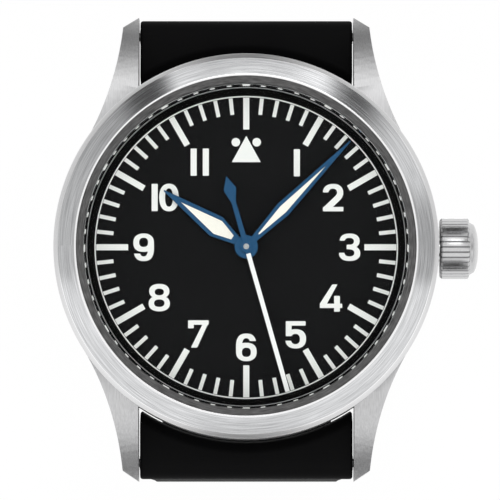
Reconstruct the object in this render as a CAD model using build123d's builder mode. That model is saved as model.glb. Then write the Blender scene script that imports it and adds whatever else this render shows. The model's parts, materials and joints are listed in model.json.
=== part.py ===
from build123d import *
from math import atan2, cos, degrees, dist, hypot, radians, sin, sqrt
import os

os.makedirs("parts", exist_ok=True)

# Pilot watch, millimetres. +Z points out of the dial, 12 o'clock is +Y and the crown is on +X.
# The origin is the centre of the outer face of the case back.

# Clearances shared by the whole watch
seat_fit = 0.02
pivot_fit = 0.03
running_fit = 0.05
case_fit = 0.1
overrun = 1.0

# Radii of the head: its outside, then the bore that the wall leaves
case_radius = 18.0
case_wall = 3.3
case_bore = case_radius - case_wall

# Case back: a screwed ring with a window
spigot_shoulder = 0.3
spigot_radius = case_bore + spigot_shoulder
spigot_height = 0.5
spigot_wall = 1.1
flange_shoulder = 0.9
flange_radius = spigot_radius + flange_shoulder
flange_height = 1.5
back_crystal_border = 1.0
back_crystal_radius = spigot_radius - spigot_wall - back_crystal_border
back_crystal_thickness = 1.0
window_border = 0.6
window_radius = back_crystal_radius - window_border
window_lip = 0.45
wrench_slots = 6
wrench_slot_width = 1.4
wrench_slot_length = 0.9
wrench_slot_depth = 0.4
back_gasket_thickness = 0.3
back_gasket_width = 0.5

# Movement: heights of its layers, counted from the case back
bridge_thickness = 0.65
train_height = 1.55
plate_thickness = 1.3
dial_radius = case_bore - case_fit
holder_wall = 1.8
movement_radius = dial_radius - holder_wall
rim_wall = 0.8
bridge_inset = 0.2
movement_back = flange_height + spigot_height
bridge_front = movement_back + bridge_thickness
plate_back = bridge_front + train_height
plate_front = plate_back + plate_thickness

# Case middle
band_height = 5.1
band_bottom = flange_height
band_top = band_bottom + band_height
under_chamfer = 1.0
case_rim_width = 1.3
case_rim_radius = case_bore + case_rim_width
case_rim_height = 0.4

# Dial and the black ring above it
dial_thickness = 0.4
dial_hole = 0.75
dial_back = plate_front
dial_top = dial_back + dial_thickness
dial_foot_radius = 0.35
dial_foot_length = 0.9
dial_foot_inset = 1.5
dial_foot_place = movement_radius - dial_foot_inset
dial_foot_angles = (58, 238)
ring_ledge = 0.16
ring_outer_radius = case_bore + ring_ledge
ring_crest_width = 0.08
ring_crest_radius = ring_outer_radius - ring_crest_width
ring_foot_width = 0.56
ring_foot_radius = ring_outer_radius - ring_foot_width
ring_height = 1.3
ring_top = dial_top + ring_height

# Painted markers
marker_height = 0.05
minute_count = 60
hour_count = 12
marker_edge_gap = 0.25
marker_outer = ring_foot_radius - marker_edge_gap
bar_length = 2.99
bar_width = 0.57
bar_inner = marker_outer - bar_length
tick_length = 1.55
tick_width = 0.36
tick_inner = marker_outer - tick_length
triangle_gap = 0.6
triangle_height = 2.47
triangle_width = 2.7
triangle_apex = bar_inner - triangle_gap
triangle_base = triangle_apex - triangle_height
dot_radius = 0.4
dot_offset = 0.98
dot_drop = 0.6
dot_height = triangle_apex - dot_drop

# Crystal, its gasket and the bezel
bezel_throat = ring_outer_radius + seat_fit
shelf_chamfer = 0.2
shelf_radius = bezel_throat + shelf_chamfer
shelf_drop = 0.6
crystal_seat = 0.12
crystal_radius = shelf_radius + crystal_seat
crystal_thickness = 1.5
crystal_chamfer = 0.12
crystal_rise = 0.598
crystal_back = ring_top + crystal_rise
crystal_top = crystal_back + crystal_thickness
gasket_width = 0.65
gasket_radius = crystal_radius + gasket_width
bezel_crest_width = 0.2
bezel_crest_radius = gasket_radius + bezel_crest_width
bezel_bevel_width = 0.4
bezel_slope_radius = case_radius - bezel_bevel_width
bezel_bevel_drop = 0.25
bezel_slope_drop = 0.6

# Lugs: outline seen from the front, then from the side. They leave the case's circle and end past it.
lug_bay = 20.2
lug_bay_sunk = 1.06
lug_bay_depth = sqrt((case_radius - lug_bay_sunk) ** 2 - (lug_bay / 2) ** 2)
lug_overhang = 3.85
lug_reach = case_radius + lug_overhang
lug_tip_width = 1.5
lug_tip_bevel = 1.0
lug_tip_x, lug_tip_y = lug_bay / 2 + lug_tip_width, lug_reach - lug_tip_bevel
lug_root_angle = 30.4
lug_root_sunk = 0.03
lug_root_x = (case_radius - lug_root_sunk) * cos(radians(lug_root_angle))
lug_root_y = (case_radius - lug_root_sunk) * sin(radians(lug_root_angle))
lug_waist_shares = (0.333, 0.47)
lug_waist_x = lug_tip_x + lug_waist_shares[0] * (lug_root_x - lug_tip_x)
lug_waist_y = lug_root_y + lug_waist_shares[1] * (lug_tip_y - lug_root_y)
lug_shoulder_inset = 5.0
lug_top_shoulder_y = case_radius - lug_shoulder_inset
lug_curve_overhang = 1.2
lug_top_waist_y, lug_top_waist_z = case_radius + lug_curve_overhang, 5.0
lug_tip_top = 2.9
lug_tip_bottom = 0.25
lug_heel_inset = 1.0
lug_heel_y = case_radius - lug_heel_inset

# Spring bars
bar_overhang = 2.1
bar_y = case_radius + bar_overhang
bar_z = 1.9
bar_radius = 0.75
bar_end_gap = 1.2
bar_tube_length = lug_bay - 2 * bar_end_gap
bar_pin_radius = 0.4
bar_pin_depth = 0.9
bar_pin_sunk = 1.9
bar_collar_radius = 0.65
bar_collar_width = 0.22
bar_collar_gap = 0.9

# Rubber strap
strap_side_gap = 0.12
strap_width = lug_bay - 2 * strap_side_gap
strap_side_taper = 0.98
strap_narrow = strap_width - 2 * strap_side_taper
strap_nose = 1.52
strap_thickness = 2.4
strap_taper_start = 3.0
strap_taper_end = 22.0
strap_thin_end = 8.0
strap_block_below = 0.6
strap_block_chamfer = 0.85
strap_case_gap = 0.25
short_length = 70.0
long_drop = 14.0
long_bow_radius = 400.0
long_bow_angle = 8.0
long_bend_radius = 10.0
foot_length = 20.5
foot_tip_flat = 4.0
foot_tip_radius = (strap_narrow - foot_tip_flat) / 2
hole_count = 7
hole_pitch = 2.6
hole_radius = 0.8
hole_edge = 3.2
keeper_rise = 11.0
keeper_height = 4.0
keeper_wall = 1.0
keeper_room = 2.7
keeper_side_gap = 0.15
free_keeper_rise = 24.0

# Buckle
buckle_bar_radius = 0.7
buckle_side = 1.7
buckle_side_gap = 0.15
buckle_reach = 8.2
buckle_cross = 1.8
buckle_thickness = 1.9
buckle_eye_radius = 1.25
buckle_corner = 1.2
buckle_pin_depth = 1.1
tang_width = 1.9
tang_thickness = 0.9
tang_eye_radius = 1.15
tang_over = 0.9
tang_slot_gap = 0.3
tang_slot_depth = 2.2

# Crown, stem and tube
stem_z = 3.65
crown_gap = 0.15
crown_face = case_radius + crown_gap
crown_grip_length = 2.73
crown_radius = 2.85
crown_flutes = 36
crown_cap_length = 0.8
crown_cap_radius = 2.3
crown_cap_flat = 0.8
crown_cap_bulge = 0.2
crown_recess_radius = 1.2
crown_recess_depth = 1.3
crown_chamfer = 0.3
tube_radius = 1.05
tube_bore = 0.6
tube_inner_end = case_bore + running_fit
tube_stand_out = 1.1
tube_outer_end = case_radius + tube_stand_out
winding_start_share = 0.6836
winding_length = 1.0
winding_start = movement_radius * winding_start_share
winding_end = winding_start + winding_length
winding_teeth = 13
winding_module = 0.18
winding_slot_margin = 0.875
sliding_length = 1.15
sliding_gap = 0.15
sliding_end = winding_start - sliding_gap
sliding_start = sliding_end - sliding_length
sliding_radius = 0.95
sliding_neck = 0.6
sliding_neck_width = 0.4
sliding_travel = 0.66
stem_radius = 0.4
stem_square = 0.54
stem_square_overlap = 0.25
stem_square_end = winding_start + stem_square_overlap
stem_shoulder = sliding_start - stem_square_overlap
stem_pilot_length = 0.8
stem_pilot_radius = 0.22
stem_pilot_start = stem_shoulder - stem_pilot_length
stem_groove_gap = 0.85
stem_groove_place = winding_end + stem_groove_gap
stem_groove_radius = 0.22
stem_groove_width = 0.4

# Train: centres seen from the front, in shares of the movement's radius
place_shares = {
    "barrel": (0.257, 0.4), "third": (-0.3461, -0.0609), "fourth": (-0.2258, -0.3914),
    "escape": (0.0602, -0.4953), "pallet": (0.268, -0.4602), "balance": (0.4922, -0.4219),
    "crown_wheel": (0.5156, 0.0), "minute_wheel": (0.1762, -0.0641), "setting_wheel": (0.4172, -0.0391),
    "click": (0.3563, 0.7773),
}
places = {name: (movement_radius * x, movement_radius * y) for name, (x, y) in place_shares.items()}
centre_at = (0.0, 0.0)
barrel_at, third_at, fourth_at = places["barrel"], places["third"], places["fourth"]
escape_at, pallet_at, balance_at = places["escape"], places["pallet"], places["balance"]
crown_wheel_at, click_at = places["crown_wheel"], places["click"]
minute_wheel_at, setting_wheel_at = places["minute_wheel"], places["setting_wheel"]
lever_share = 0.3047
lever_at = (stem_groove_place, -movement_radius * lever_share)

# Train: teeth and modules
tooth_addendum = 0.9
tooth_dedendum = 1.15
tooth_foot_share = 0.36
barrel_teeth, centre_leaves = 72, 12
centre_teeth, third_leaves = 64, 8
third_teeth, fourth_leaves = 60, 8
fourth_teeth, escape_leaves = 72, 6
cannon_leaves, minute_teeth = 12, 36
minute_leaves, hour_teeth = 10, 40
setting_teeth = 26
crown_wheel_teeth, ratchet_teeth = 25, 36
barrel_module = 2 * dist(barrel_at, centre_at) / (barrel_teeth + centre_leaves)
centre_module = 2 * dist(centre_at, third_at) / (centre_teeth + third_leaves)
third_module = 2 * dist(third_at, fourth_at) / (third_teeth + fourth_leaves)
fourth_module = 2 * dist(fourth_at, escape_at) / (fourth_teeth + escape_leaves)
minute_module = 2 * dist(centre_at, minute_wheel_at) / (cannon_leaves + minute_teeth)
hour_module = 2 * dist(centre_at, minute_wheel_at) / (minute_leaves + hour_teeth)
winding_wheel_module = 2 * dist(crown_wheel_at, barrel_at) / (crown_wheel_teeth + ratchet_teeth)
escape_teeth = 15
escape_gap = 0.55
escape_radius = dist(escape_at, pallet_at) - escape_gap
escape_tooth_length = 0.45
escape_root = escape_radius - escape_tooth_length
escape_lean = 8.0
escape_heel_shares = (1.4, 1.1)

# Train: thicknesses and radii of arbors
wheel_thickness = 0.12
centre_wheel_thickness = 0.15
third_wheel_lift = 0.5
fourth_wheel_lift = 1.0
pinion_length = 0.3
arbor_radius = 0.15
arbor_pivot = 0.1
arbor_play = 0.05
pivot_length = 0.2
jewel_radius = 0.42
jewel_thickness = 0.25
jewel_sides = 12
hollow_arbor_radius = 0.5
hollow_arbor_bore = 0.18
hollow_neck_radius = 0.3
seconds_arbor_radius = 0.12
wheel_hub_radius = 0.6
wheel_rim = 0.45
wheel_arm = 0.32
wheel_arms = 4

# Barrel
drum_inset = 0.37
drum_radius = barrel_teeth * barrel_module / 2 - drum_inset
drum_wall = 0.25
drum_back = bridge_front + case_fit
drum_height = 1.1
drum_floor = 0.22
cover_thickness = 0.15
barrel_gear_height = 0.25
barrel_arbor_radius = 0.8
barrel_pivot_radius = 0.5
barrel_pivot_length = 0.6
mainspring_turns = 4
mainspring_strip = 0.14
mainspring_pitch = 0.37
mainspring_height = 0.55

# Balance and hairspring
balance_gap = 0.3
balance_radius = movement_radius - rim_wall - hypot(*balance_at) - balance_gap
balance_rim_width = 0.38
balance_rim_height = 0.25
balance_lift = 0.22
balance_back = bridge_front + balance_lift
balance_arms = 3
roller_radius = 0.5
roller_height = 0.12
impulse_pin_radius = 0.07
hairspring_turns = 4
hairspring_strip = 0.05
hairspring_pitch = 0.3
hairspring_start = 0.42
hairspring_height = 0.1
hairspring_lift = 0.06
hairspring_back = bridge_front + hairspring_lift

# Pallet fork and its bridge
fork_thickness = 0.13
fork_drop = 0.36
fork_back = plate_back - fork_drop
fork_staff_gap = 0.71
fork_lever = dist(pallet_at, balance_at) - fork_staff_gap
fork_lever_width = 0.32
fork_slot = 0.24
fork_arm_shares = (0.5, 0.148)
fork_arm, fork_arm_width = (share * dist(escape_at, pallet_at) for share in fork_arm_shares)
fork_arm_angle = 128.0
pallet_bridge_thickness = 0.26
pallet_bridge_gap = 0.1
pallet_bridge_width = 1.1
pallet_bridge_share = 0.79
pallet_bridge_half_length = pallet_bridge_share * dist(pallet_at, balance_at)

# Winding wheels on the back of the bridges, click, screws, casing clamps
recess_depth = 0.4
recess_gap = 0.22
winding_wheel_height = 0.35
click_room = dist(click_at, barrel_at) - (ratchet_teeth / 2 + tooth_addendum) * winding_wheel_module
click_shares = (0.4935, 1.069, 1.1925, 0.8636)
click_radius, click_recess, click_reach, click_spring_radius = (share * click_room for share in click_shares)
click_lean = 35.0
click_pin_radius = 0.25
click_spring_width = 0.12
screw_head_radius = 0.45
screw_head_height = 0.22
screw_shank_radius = 0.22
screw_shank_length = 1.2
screw_sides = 12
screw_inset = 0.5
screw_place = movement_radius - screw_inset
bridge_screw_angles = (22, 78, 142, 172, 216, 258, 319.4)
clamp_radius = 0.85
clamp_thickness = 0.22
clamp_place = movement_radius + running_fit
clamp_angles = (110, 290)

# Motion work under the dial and the setting parts
motion_depth = 0.65
motion_wall = 0.25
motion_post_wall = 0.12
motion_post_radius = (minute_leaves / 2 - tooth_dedendum) * hour_module - motion_post_wall
cannon_tube_radius = 0.42
cannon_length = 0.3
minute_wheel_lift = 0.08
minute_wheel_thickness = 0.13
hour_wheel_lift = 0.35
hour_wheel_thickness = 0.12
hour_tube_radius = 0.62
lever_thickness = 0.22
lever_width = 0.55
lever_pin_radius = 0.13
lever_pin_drop = 0.75
lever_post_radius = 0.2
holder_radius = dial_radius
holder_play = running_fit
stem_hole_radius = 0.55

# Hands: heights above the dial, then outlines as (distance from the centre, width)
hand_thickness = 0.15
hour_hand_rise = 0.35
minute_hand_rise = 0.8
seconds_hand_rise = 1.25
seconds_hand_thickness = 0.1
hub_radius = 1.1
hour_angle, minute_angle, seconds_angle = 304.5, 44.5, 164.1
hour_tip_gap, minute_tip_gap, seconds_tip_over = 1.7, 0.14, 0.05
hour_tip = bar_inner - hour_tip_gap
minute_tip = marker_outer - minute_tip_gap
hour_base_width, hour_wide_place, hour_wide_width = 0.86, 3.41, 2.15
hour_lume_start, hour_lume_base, hour_lume_place, hour_lume_width = 1.57, 0.43, 3.23, 1.44
hour_lume_inset = 1.97
hour_lume_tip = hour_tip - hour_lume_inset
minute_base_width, minute_wide_place, minute_wide_width = 0.64, 4.9, 1.47
minute_lume_start, minute_lume_base, minute_lume_place, minute_lume_width = 1.67, 0.12, 4.9, 0.76
minute_lume_inset = 3.31
minute_lume_tip = minute_tip - minute_lume_inset
hand_tip_width = 0.12
seconds_hub_radius = 0.54
seconds_width = 0.42
seconds_tip = marker_outer + seconds_tip_over
seconds_tail_neck = 4.29
seconds_tail_place = 5.58
seconds_tail_width = 1.2
seconds_tail_tip = 6.85
pipe_radius = 0.27
pipe_rise = 0.18


def turned(section):
    """A turned ring or disc about Z, from its half section as (radius, height) pairs."""
    with BuildPart() as made:
        with BuildSketch(Plane.XZ):
            with BuildLine():
                Polyline(*section, close=True)
            make_face()
        revolve(axis=Axis.Z)
    return made.part


def disc(radius, bottom, top, bore=0):
    """A flat disc about Z between two heights, with an optional bore."""
    with BuildPart() as made:
        with BuildSketch(Plane.XY.offset(bottom)):
            Circle(radius)
            if bore:
                Circle(bore, mode=Mode.SUBTRACT)
        extrude(amount=top - bottom)
    return made.part


def small_disc(radius, bottom, top, sides, bore=0):
    """A small disc with flat sides about Z. Its bore clears a circle of the given radius."""
    with BuildPart() as made:
        with BuildSketch(Plane.XY.offset(bottom)):
            RegularPolygon(radius, sides)
            if bore:
                RegularPolygon(bore, sides, major_radius=False, mode=Mode.SUBTRACT)
        extrude(amount=top - bottom)
    return made.part


def gear(teeth, module, bottom, top, tooth_at=0, bore=0, arms=0):
    """A toothed wheel about Z with one tooth centred on the direction tooth_at, in degrees."""
    pitch_radius = teeth * module / 2
    tip = pitch_radius + tooth_addendum * module
    root = pitch_radius - tooth_dedendum * module
    step = 360 / teeth
    points = []
    for number in range(teeth):
        middle = tooth_at + number * step
        for radius, turn in ((root, -tooth_foot_share), (tip, 0), (root, tooth_foot_share)):
            points.append(polar(radius, middle + turn * step))
    with BuildPart() as made:
        with BuildSketch(Plane.XY.offset(bottom)):
            with BuildLine():
                Polyline(*points, close=True)
            make_face()
            if bore:
                Circle(bore, mode=Mode.SUBTRACT)
            if arms:
                add(arms_window(root - wheel_rim, arms), mode=Mode.SUBTRACT)
        extrude(amount=top - bottom)
    return made.part


def arms_window(outer, arms):
    """The openings between the arms of a wheel, as a sketch."""
    with BuildSketch() as made:
        Circle(outer)
        Circle(wheel_hub_radius, mode=Mode.SUBTRACT)
        with PolarLocations(0, arms):
            Rectangle(outer, wheel_arm, align=(Align.MIN, Align.CENTER), mode=Mode.SUBTRACT)
    return made.sketch


def polar(radius, angle):
    """The place at a distance and direction, in degrees, from the centre."""
    return radius * cos(radians(angle)), radius * sin(radians(angle))


def bearing(start, end):
    """Direction from one centre to another, in degrees."""
    return degrees(atan2(end[1] - start[1], end[0] - start[0]))


def meshed(tooth_at, teeth, start, end, leaves):
    """Where the driven wheel has a tooth, so that its gap meets the driver's tooth."""
    along = bearing(start, end)
    phase = (along - tooth_at) * teeth / 360
    return along + 180 - (0.5 - phase) * 360 / leaves


def strip(start_radius, width, pitch, turns, bottom, top):
    """A flat spring wound in half circles about Z, growing outwards by one pitch each turn."""
    with BuildPart() as made:
        with BuildSketch(Plane.XY.offset(bottom)):
            with BuildLine():
                for side in (-width / 2, width / 2):
                    radius = start_radius + side
                    shift = 0
                    sign = 1
                    for _ in range(2 * turns):
                        shift -= sign * pitch / 4
                        radius += pitch / 4
                        CenterArc((shift, 0), radius, 0 if sign > 0 else 180, 180)
                        sign = -sign
                    end_x = shift + sign * radius
                    if side < 0:
                        inner_start, inner_end = (start_radius + side, 0), (end_x, 0)
                    else:
                        outer_start, outer_end = (start_radius + side, 0), (end_x, 0)
                Line(inner_start, outer_start)
                Line(inner_end, outer_end)
            make_face()
        extrude(amount=top - bottom)
    return made.part


def pointer_outline(stations):
    """Corner points of a symmetrical hand that points along +X, from (distance, width) stations."""
    upper = [(distance, width / 2) for distance, width in stations]
    lower = [(distance, -width / 2) for distance, width in reversed(stations) if width]
    return upper + lower


def dial_direction(clock_angle):
    """Angle from +X of a direction given clockwise from 12 o'clock."""
    return 90 - clock_angle


# Case middle: band, rim that centres the bezel, four lugs
with BuildPart() as lug_pair:
    with BuildSketch():
        for side in (1, -1):
            with BuildLine():
                edge = ThreePointArc(
                    (side * lug_root_x, lug_root_y),
                    (side * lug_waist_x, lug_waist_y),
                    (side * lug_tip_x, lug_tip_y),
                )
                Polyline(
                    edge @ 1,
                    (side * lug_bay / 2, lug_reach),
                    (side * lug_bay / 2, lug_bay_depth),
                    edge @ 0,
                )
            make_face()
    extrude(amount=band_top)
    with BuildSketch(Plane.YZ):
        with BuildLine():
            Line((0, band_top), (lug_top_shoulder_y, band_top))
            top_curve = ThreePointArc(
                (lug_top_shoulder_y, band_top),
                (lug_top_waist_y, lug_top_waist_z),
                (lug_reach, lug_tip_top),
            )
            Line(top_curve @ 1, (lug_reach, lug_tip_bottom))
            Line((lug_reach, lug_tip_bottom), (lug_heel_y, lug_tip_bottom))
            Line((lug_heel_y, lug_tip_bottom), (lug_root_y, band_bottom))
            Line((lug_root_y, band_bottom), (0, band_bottom))
            Line((0, band_bottom), (0, band_top))
        make_face()
    extrude(amount=case_radius, both=True, mode=Mode.INTERSECT)
    with BuildSketch(Plane.YZ):
        with Locations((bar_y, bar_z)):
            Circle(bar_pin_radius + running_fit)
    extrude(amount=lug_bay / 2 + bar_pin_depth + 2 * running_fit, both=True, mode=Mode.SUBTRACT)

with BuildPart() as case_middle:
    add(turned([
        (case_bore, band_bottom),
        (case_radius - under_chamfer, band_bottom),
        (case_radius, band_bottom + under_chamfer),
        (case_radius, band_top),
        (case_rim_radius, band_top),
        (case_rim_radius, band_top + case_rim_height),
        (case_bore, band_top + case_rim_height),
    ]))
    add(lug_pair.part)
    add(mirror(lug_pair.part, about=Plane.XZ))
    add(disc(spigot_radius + case_fit, band_bottom, movement_back + holder_play), mode=Mode.SUBTRACT)
    add(disc(spigot_radius + back_gasket_width, band_bottom, band_bottom + back_gasket_thickness),
        mode=Mode.SUBTRACT)
    add(disc(case_bore, band_bottom, band_top), mode=Mode.SUBTRACT)
    add(disc(ring_outer_radius + seat_fit, dial_top, ring_top), mode=Mode.SUBTRACT)
    with BuildSketch(Plane.YZ.offset(case_bore - overrun)):
        with Locations((0, stem_z)):
            Circle(tube_radius)
    extrude(amount=case_radius, mode=Mode.SUBTRACT)
case_middle.part.label = "case_middle"
export_step(case_middle.part, "parts/case_middle.step")

# Bezel: polished throat chamfer, crystal shelf, brushed slope, polished bevel
shelf_z = crystal_back
bezel_top = crystal_top - crystal_chamfer
bezel_bevel_z = bezel_top - bezel_slope_drop
with BuildPart() as bezel:
    add(turned([
        (bezel_throat, band_top + case_rim_height),
        (case_rim_radius + seat_fit, band_top + case_rim_height),
        (case_rim_radius + seat_fit, band_top),
        (case_radius, band_top),
        (case_radius, bezel_bevel_z - bezel_bevel_drop),
        (bezel_slope_radius, bezel_bevel_z),
        (bezel_crest_radius, bezel_top),
        (gasket_radius, bezel_top),
        (gasket_radius, shelf_z),
        (shelf_radius, shelf_z),
        (bezel_throat, shelf_z - shelf_drop),
    ]))
bezel.part.label = "bezel"
export_step(bezel.part, "parts/bezel.step")

with BuildPart() as crystal:
    add(turned([
        (0, crystal_back),
        (crystal_radius, crystal_back),
        (crystal_radius, crystal_top - crystal_chamfer),
        (crystal_radius - crystal_chamfer, crystal_top),
        (0, crystal_top),
    ]))
crystal.part.label = "crystal"
export_step(crystal.part, "parts/crystal.step")

with BuildPart() as crystal_gasket:
    add(disc(gasket_radius, crystal_back, crystal_top - 2 * crystal_chamfer, bore=crystal_radius))
crystal_gasket.part.label = "crystal_gasket"
export_step(crystal_gasket.part, "parts/crystal_gasket.step")

with BuildPart() as dial_ring:
    add(turned([
        (ring_foot_radius, dial_top),
        (ring_outer_radius, dial_top),
        (ring_outer_radius, ring_top),
        (ring_crest_radius, ring_top),
    ]))
dial_ring.part.label = "dial_ring"
export_step(dial_ring.part, "parts/dial_ring.step")

with BuildPart() as dial:
    add(disc(dial_radius, dial_back, dial_top, bore=dial_hole))
    with BuildSketch(Plane.XY.offset(dial_back)):
        for angle in dial_foot_angles:
            with Locations(polar(dial_foot_place, angle)):
                Circle(dial_foot_radius)
    extrude(amount=-dial_foot_length)
dial.part.label = "dial"
export_step(dial.part, "parts/dial.step")

# Painted markers: twelve bars, the minute marks between them, triangle and two dots
with BuildPart() as dial_markers:
    with BuildSketch(Plane.XY.offset(dial_top)):
        for minute in range(minute_count):
            is_hour = minute % (minute_count // hour_count) == 0
            inner = bar_inner if is_hour else tick_inner
            width = bar_width if is_hour else tick_width
            with PolarLocations((inner + marker_outer) / 2, 1, start_angle=360 / minute_count * minute):
                Rectangle(marker_outer - inner, width)
        with BuildLine():
            Polyline(
                (0, triangle_apex),
                (-triangle_width / 2, triangle_base),
                (triangle_width / 2, triangle_base),
                close=True,
            )
        make_face()
        with Locations((dot_offset, dot_height), (-dot_offset, dot_height)):
            Circle(dot_radius)
    extrude(amount=marker_height)
dial_markers.part.label = "dial_markers"
export_step(dial_markers.part, "parts/dial_markers.step")

# Case back, its window and gasket
with BuildPart() as case_back:
    add(turned([
        (window_radius, 0),
        (flange_radius, 0),
        (flange_radius, flange_height),
        (spigot_radius, flange_height),
        (spigot_radius, movement_back),
        (spigot_radius - spigot_wall, movement_back),
        (spigot_radius - spigot_wall, window_lip + back_crystal_thickness),
        (back_crystal_radius, window_lip + back_crystal_thickness),
        (back_crystal_radius, window_lip),
        (window_radius, window_lip),
    ]))
    with BuildSketch():
        with PolarLocations(flange_radius, wrench_slots):
            Rectangle(2 * wrench_slot_length, wrench_slot_width)
    extrude(amount=wrench_slot_depth, mode=Mode.SUBTRACT)
case_back.part.label = "case_back"
export_step(case_back.part, "parts/case_back.step")

with BuildPart() as back_crystal:
    add(disc(back_crystal_radius, window_lip, window_lip + back_crystal_thickness))
back_crystal.part.label = "back_crystal"
export_step(back_crystal.part, "parts/back_crystal.step")

with BuildPart() as back_gasket:
    add(disc(spigot_radius + back_gasket_width, flange_height, flange_height + back_gasket_thickness,
             bore=spigot_radius + case_fit))
back_gasket.part.label = "back_gasket"
export_step(back_gasket.part, "parts/back_gasket.step")

# Movement holder ring, open where the stem passes
with BuildPart() as movement_holder:
    add(disc(holder_radius, movement_back + holder_play, plate_front, bore=movement_radius + holder_play))
    with BuildSketch(Plane.YZ.offset(movement_radius - overrun)):
        with Locations((0, stem_z)):
            Circle(tube_radius)
    extrude(amount=case_radius - movement_radius, mode=Mode.SUBTRACT)
movement_holder.part.label = "movement_holder"
export_step(movement_holder.part, "parts/movement_holder.step")

# Mainplate: plate, rim, motion-work recess, keyless pocket, posts and pivot holes
jewelled = (third_at, fourth_at, escape_at, pallet_at, balance_at)
motion_floor = plate_front - motion_depth
minute_wheel_radius = minute_teeth * minute_module / 2
setting_wheel_radius = setting_teeth * minute_module / 2
hour_wheel_radius = hour_teeth * hour_module / 2
winding_radius = winding_teeth * winding_module / 2
pocket_top = stem_z + winding_radius + tooth_addendum * winding_module + case_fit
stem_boss_end = sliding_start - sliding_travel - case_fit
stem_boss_width = 2 * (stem_groove_radius + stem_pilot_radius)
with BuildPart() as mainplate:
    add(disc(movement_radius, plate_back, plate_front))
    add(disc(movement_radius, bridge_front, plate_back, bore=movement_radius - rim_wall))
    with BuildSketch(Plane.XY.offset(motion_floor)):
        for centre, radius in (
            (centre_at, hour_wheel_radius),
            (minute_wheel_at, minute_wheel_radius),
            (setting_wheel_at, setting_wheel_radius),
        ):
            with Locations(centre):
                Circle(radius + motion_wall)
    extrude(amount=motion_depth, mode=Mode.SUBTRACT)
    with BuildSketch(Plane.XY.offset(plate_back)):
        with Locations((winding_end + case_fit, 0)):
            Rectangle(winding_end + 2 * case_fit - stem_boss_end,
                      2 * (winding_radius + case_fit + running_fit), align=(Align.MAX, Align.CENTER))
    extrude(amount=pocket_top - plate_back, mode=Mode.SUBTRACT)
    with BuildSketch(Plane.XY.offset(motion_floor)):
        with Locations(minute_wheel_at, setting_wheel_at):
            Circle(motion_post_radius)
    extrude(amount=minute_wheel_lift + 2 * minute_wheel_thickness)
    with BuildSketch(Plane.XY.offset(plate_back)):
        with Locations((stem_boss_end, 0)):
            Rectangle(stem_boss_end - stem_pilot_start + stem_pilot_radius, stem_boss_width,
                      align=(Align.MAX, Align.CENTER))
        with Locations(lever_at):
            Circle(lever_post_radius)
    extrude(amount=-(lever_thickness + 2 * arbor_play))
    with BuildSketch(Plane.XY.offset(plate_back)):
        with Locations((stem_boss_end, 0)):
            Rectangle(stem_boss_end - stem_pilot_start + stem_pilot_radius, stem_boss_width,
                      align=(Align.MAX, Align.CENTER))
    extrude(amount=-(plate_back - stem_z + 2 * stem_pilot_radius))
    with BuildSketch(Plane.YZ.offset(stem_pilot_start - stem_pilot_radius)):
        with Locations((0, stem_z)):
            Circle(stem_pilot_radius + pivot_fit)
    extrude(amount=stem_boss_end, mode=Mode.SUBTRACT)
    with BuildSketch(Plane.YZ.offset(movement_radius - rim_wall - overrun / 2)):
        with Locations((0, stem_z)):
            Circle(stem_hole_radius)
    extrude(amount=rim_wall + overrun, mode=Mode.SUBTRACT)
    with BuildSketch(Plane.XY.offset(bridge_front)):
        Circle(hollow_arbor_radius + running_fit)
        with Locations(barrel_at):
            Circle(barrel_pivot_radius + pivot_fit)
        with Locations(*jewelled):
            RegularPolygon(jewel_radius, jewel_sides)
        for angle in dial_foot_angles:
            with Locations(polar(dial_foot_place, angle)):
                Circle(dial_foot_radius + running_fit)
    extrude(amount=plate_front, mode=Mode.SUBTRACT)
    with BuildSketch(Plane.XY.offset(bridge_front)):
        for angle in bridge_screw_angles:
            with Locations(polar(screw_place, angle)):
                RegularPolygon(screw_shank_radius, screw_sides)
    extrude(amount=screw_shank_length, mode=Mode.SUBTRACT)
mainplate.part.label = "mainplate"
export_step(mainplate.part, "parts/mainplate.step")

# Bridges on the back of the movement, cut from one disc by hand-chosen lines
bridge_radius = movement_radius - bridge_inset
barrel_bridge_shares = (
    (-1.03, 0.33), (-0.095, 0.183), (0.127, 0.032), (0.175, -0.111), (0.286, -0.127),
    (0.333, -0.236), (0.746, -0.236), (1.03, -0.151), (1.03, 1.03), (-1.03, 1.03),
)
train_bridge_shares = (
    (-1.03, 0.313), (-0.107, 0.163), (0.107, 0.02), (0.155, -0.127), (0.155, -1.03), (-1.03, -1.03),
)
cock_half_width = 1.05
cock_foot_half_width = 2.3
recess_floor = movement_back + recess_depth
crown_wheel_radius = crown_wheel_teeth * winding_wheel_module / 2
ratchet_radius = ratchet_teeth * winding_wheel_module / 2


def bridge_blank(shares):
    """A bridge plate: the part of the bridge disc inside an outline given in shares of its radius."""
    with BuildPart() as made:
        with BuildSketch(Plane.XY.offset(movement_back)):
            Circle(bridge_radius)
            with BuildLine():
                Polyline(*[(bridge_radius * x, bridge_radius * y) for x, y in shares], close=True)
            make_face(mode=Mode.INTERSECT)
        extrude(amount=bridge_thickness)
    return made.part


def screw_holes():
    """Clearance holes for the bridge screws."""
    with BuildPart() as made:
        with BuildSketch(Plane.XY.offset(movement_back)):
            for angle in bridge_screw_angles:
                with Locations(polar(screw_place, angle)):
                    RegularPolygon(screw_shank_radius, screw_sides)
        extrude(amount=bridge_thickness)
    return made.part


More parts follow.
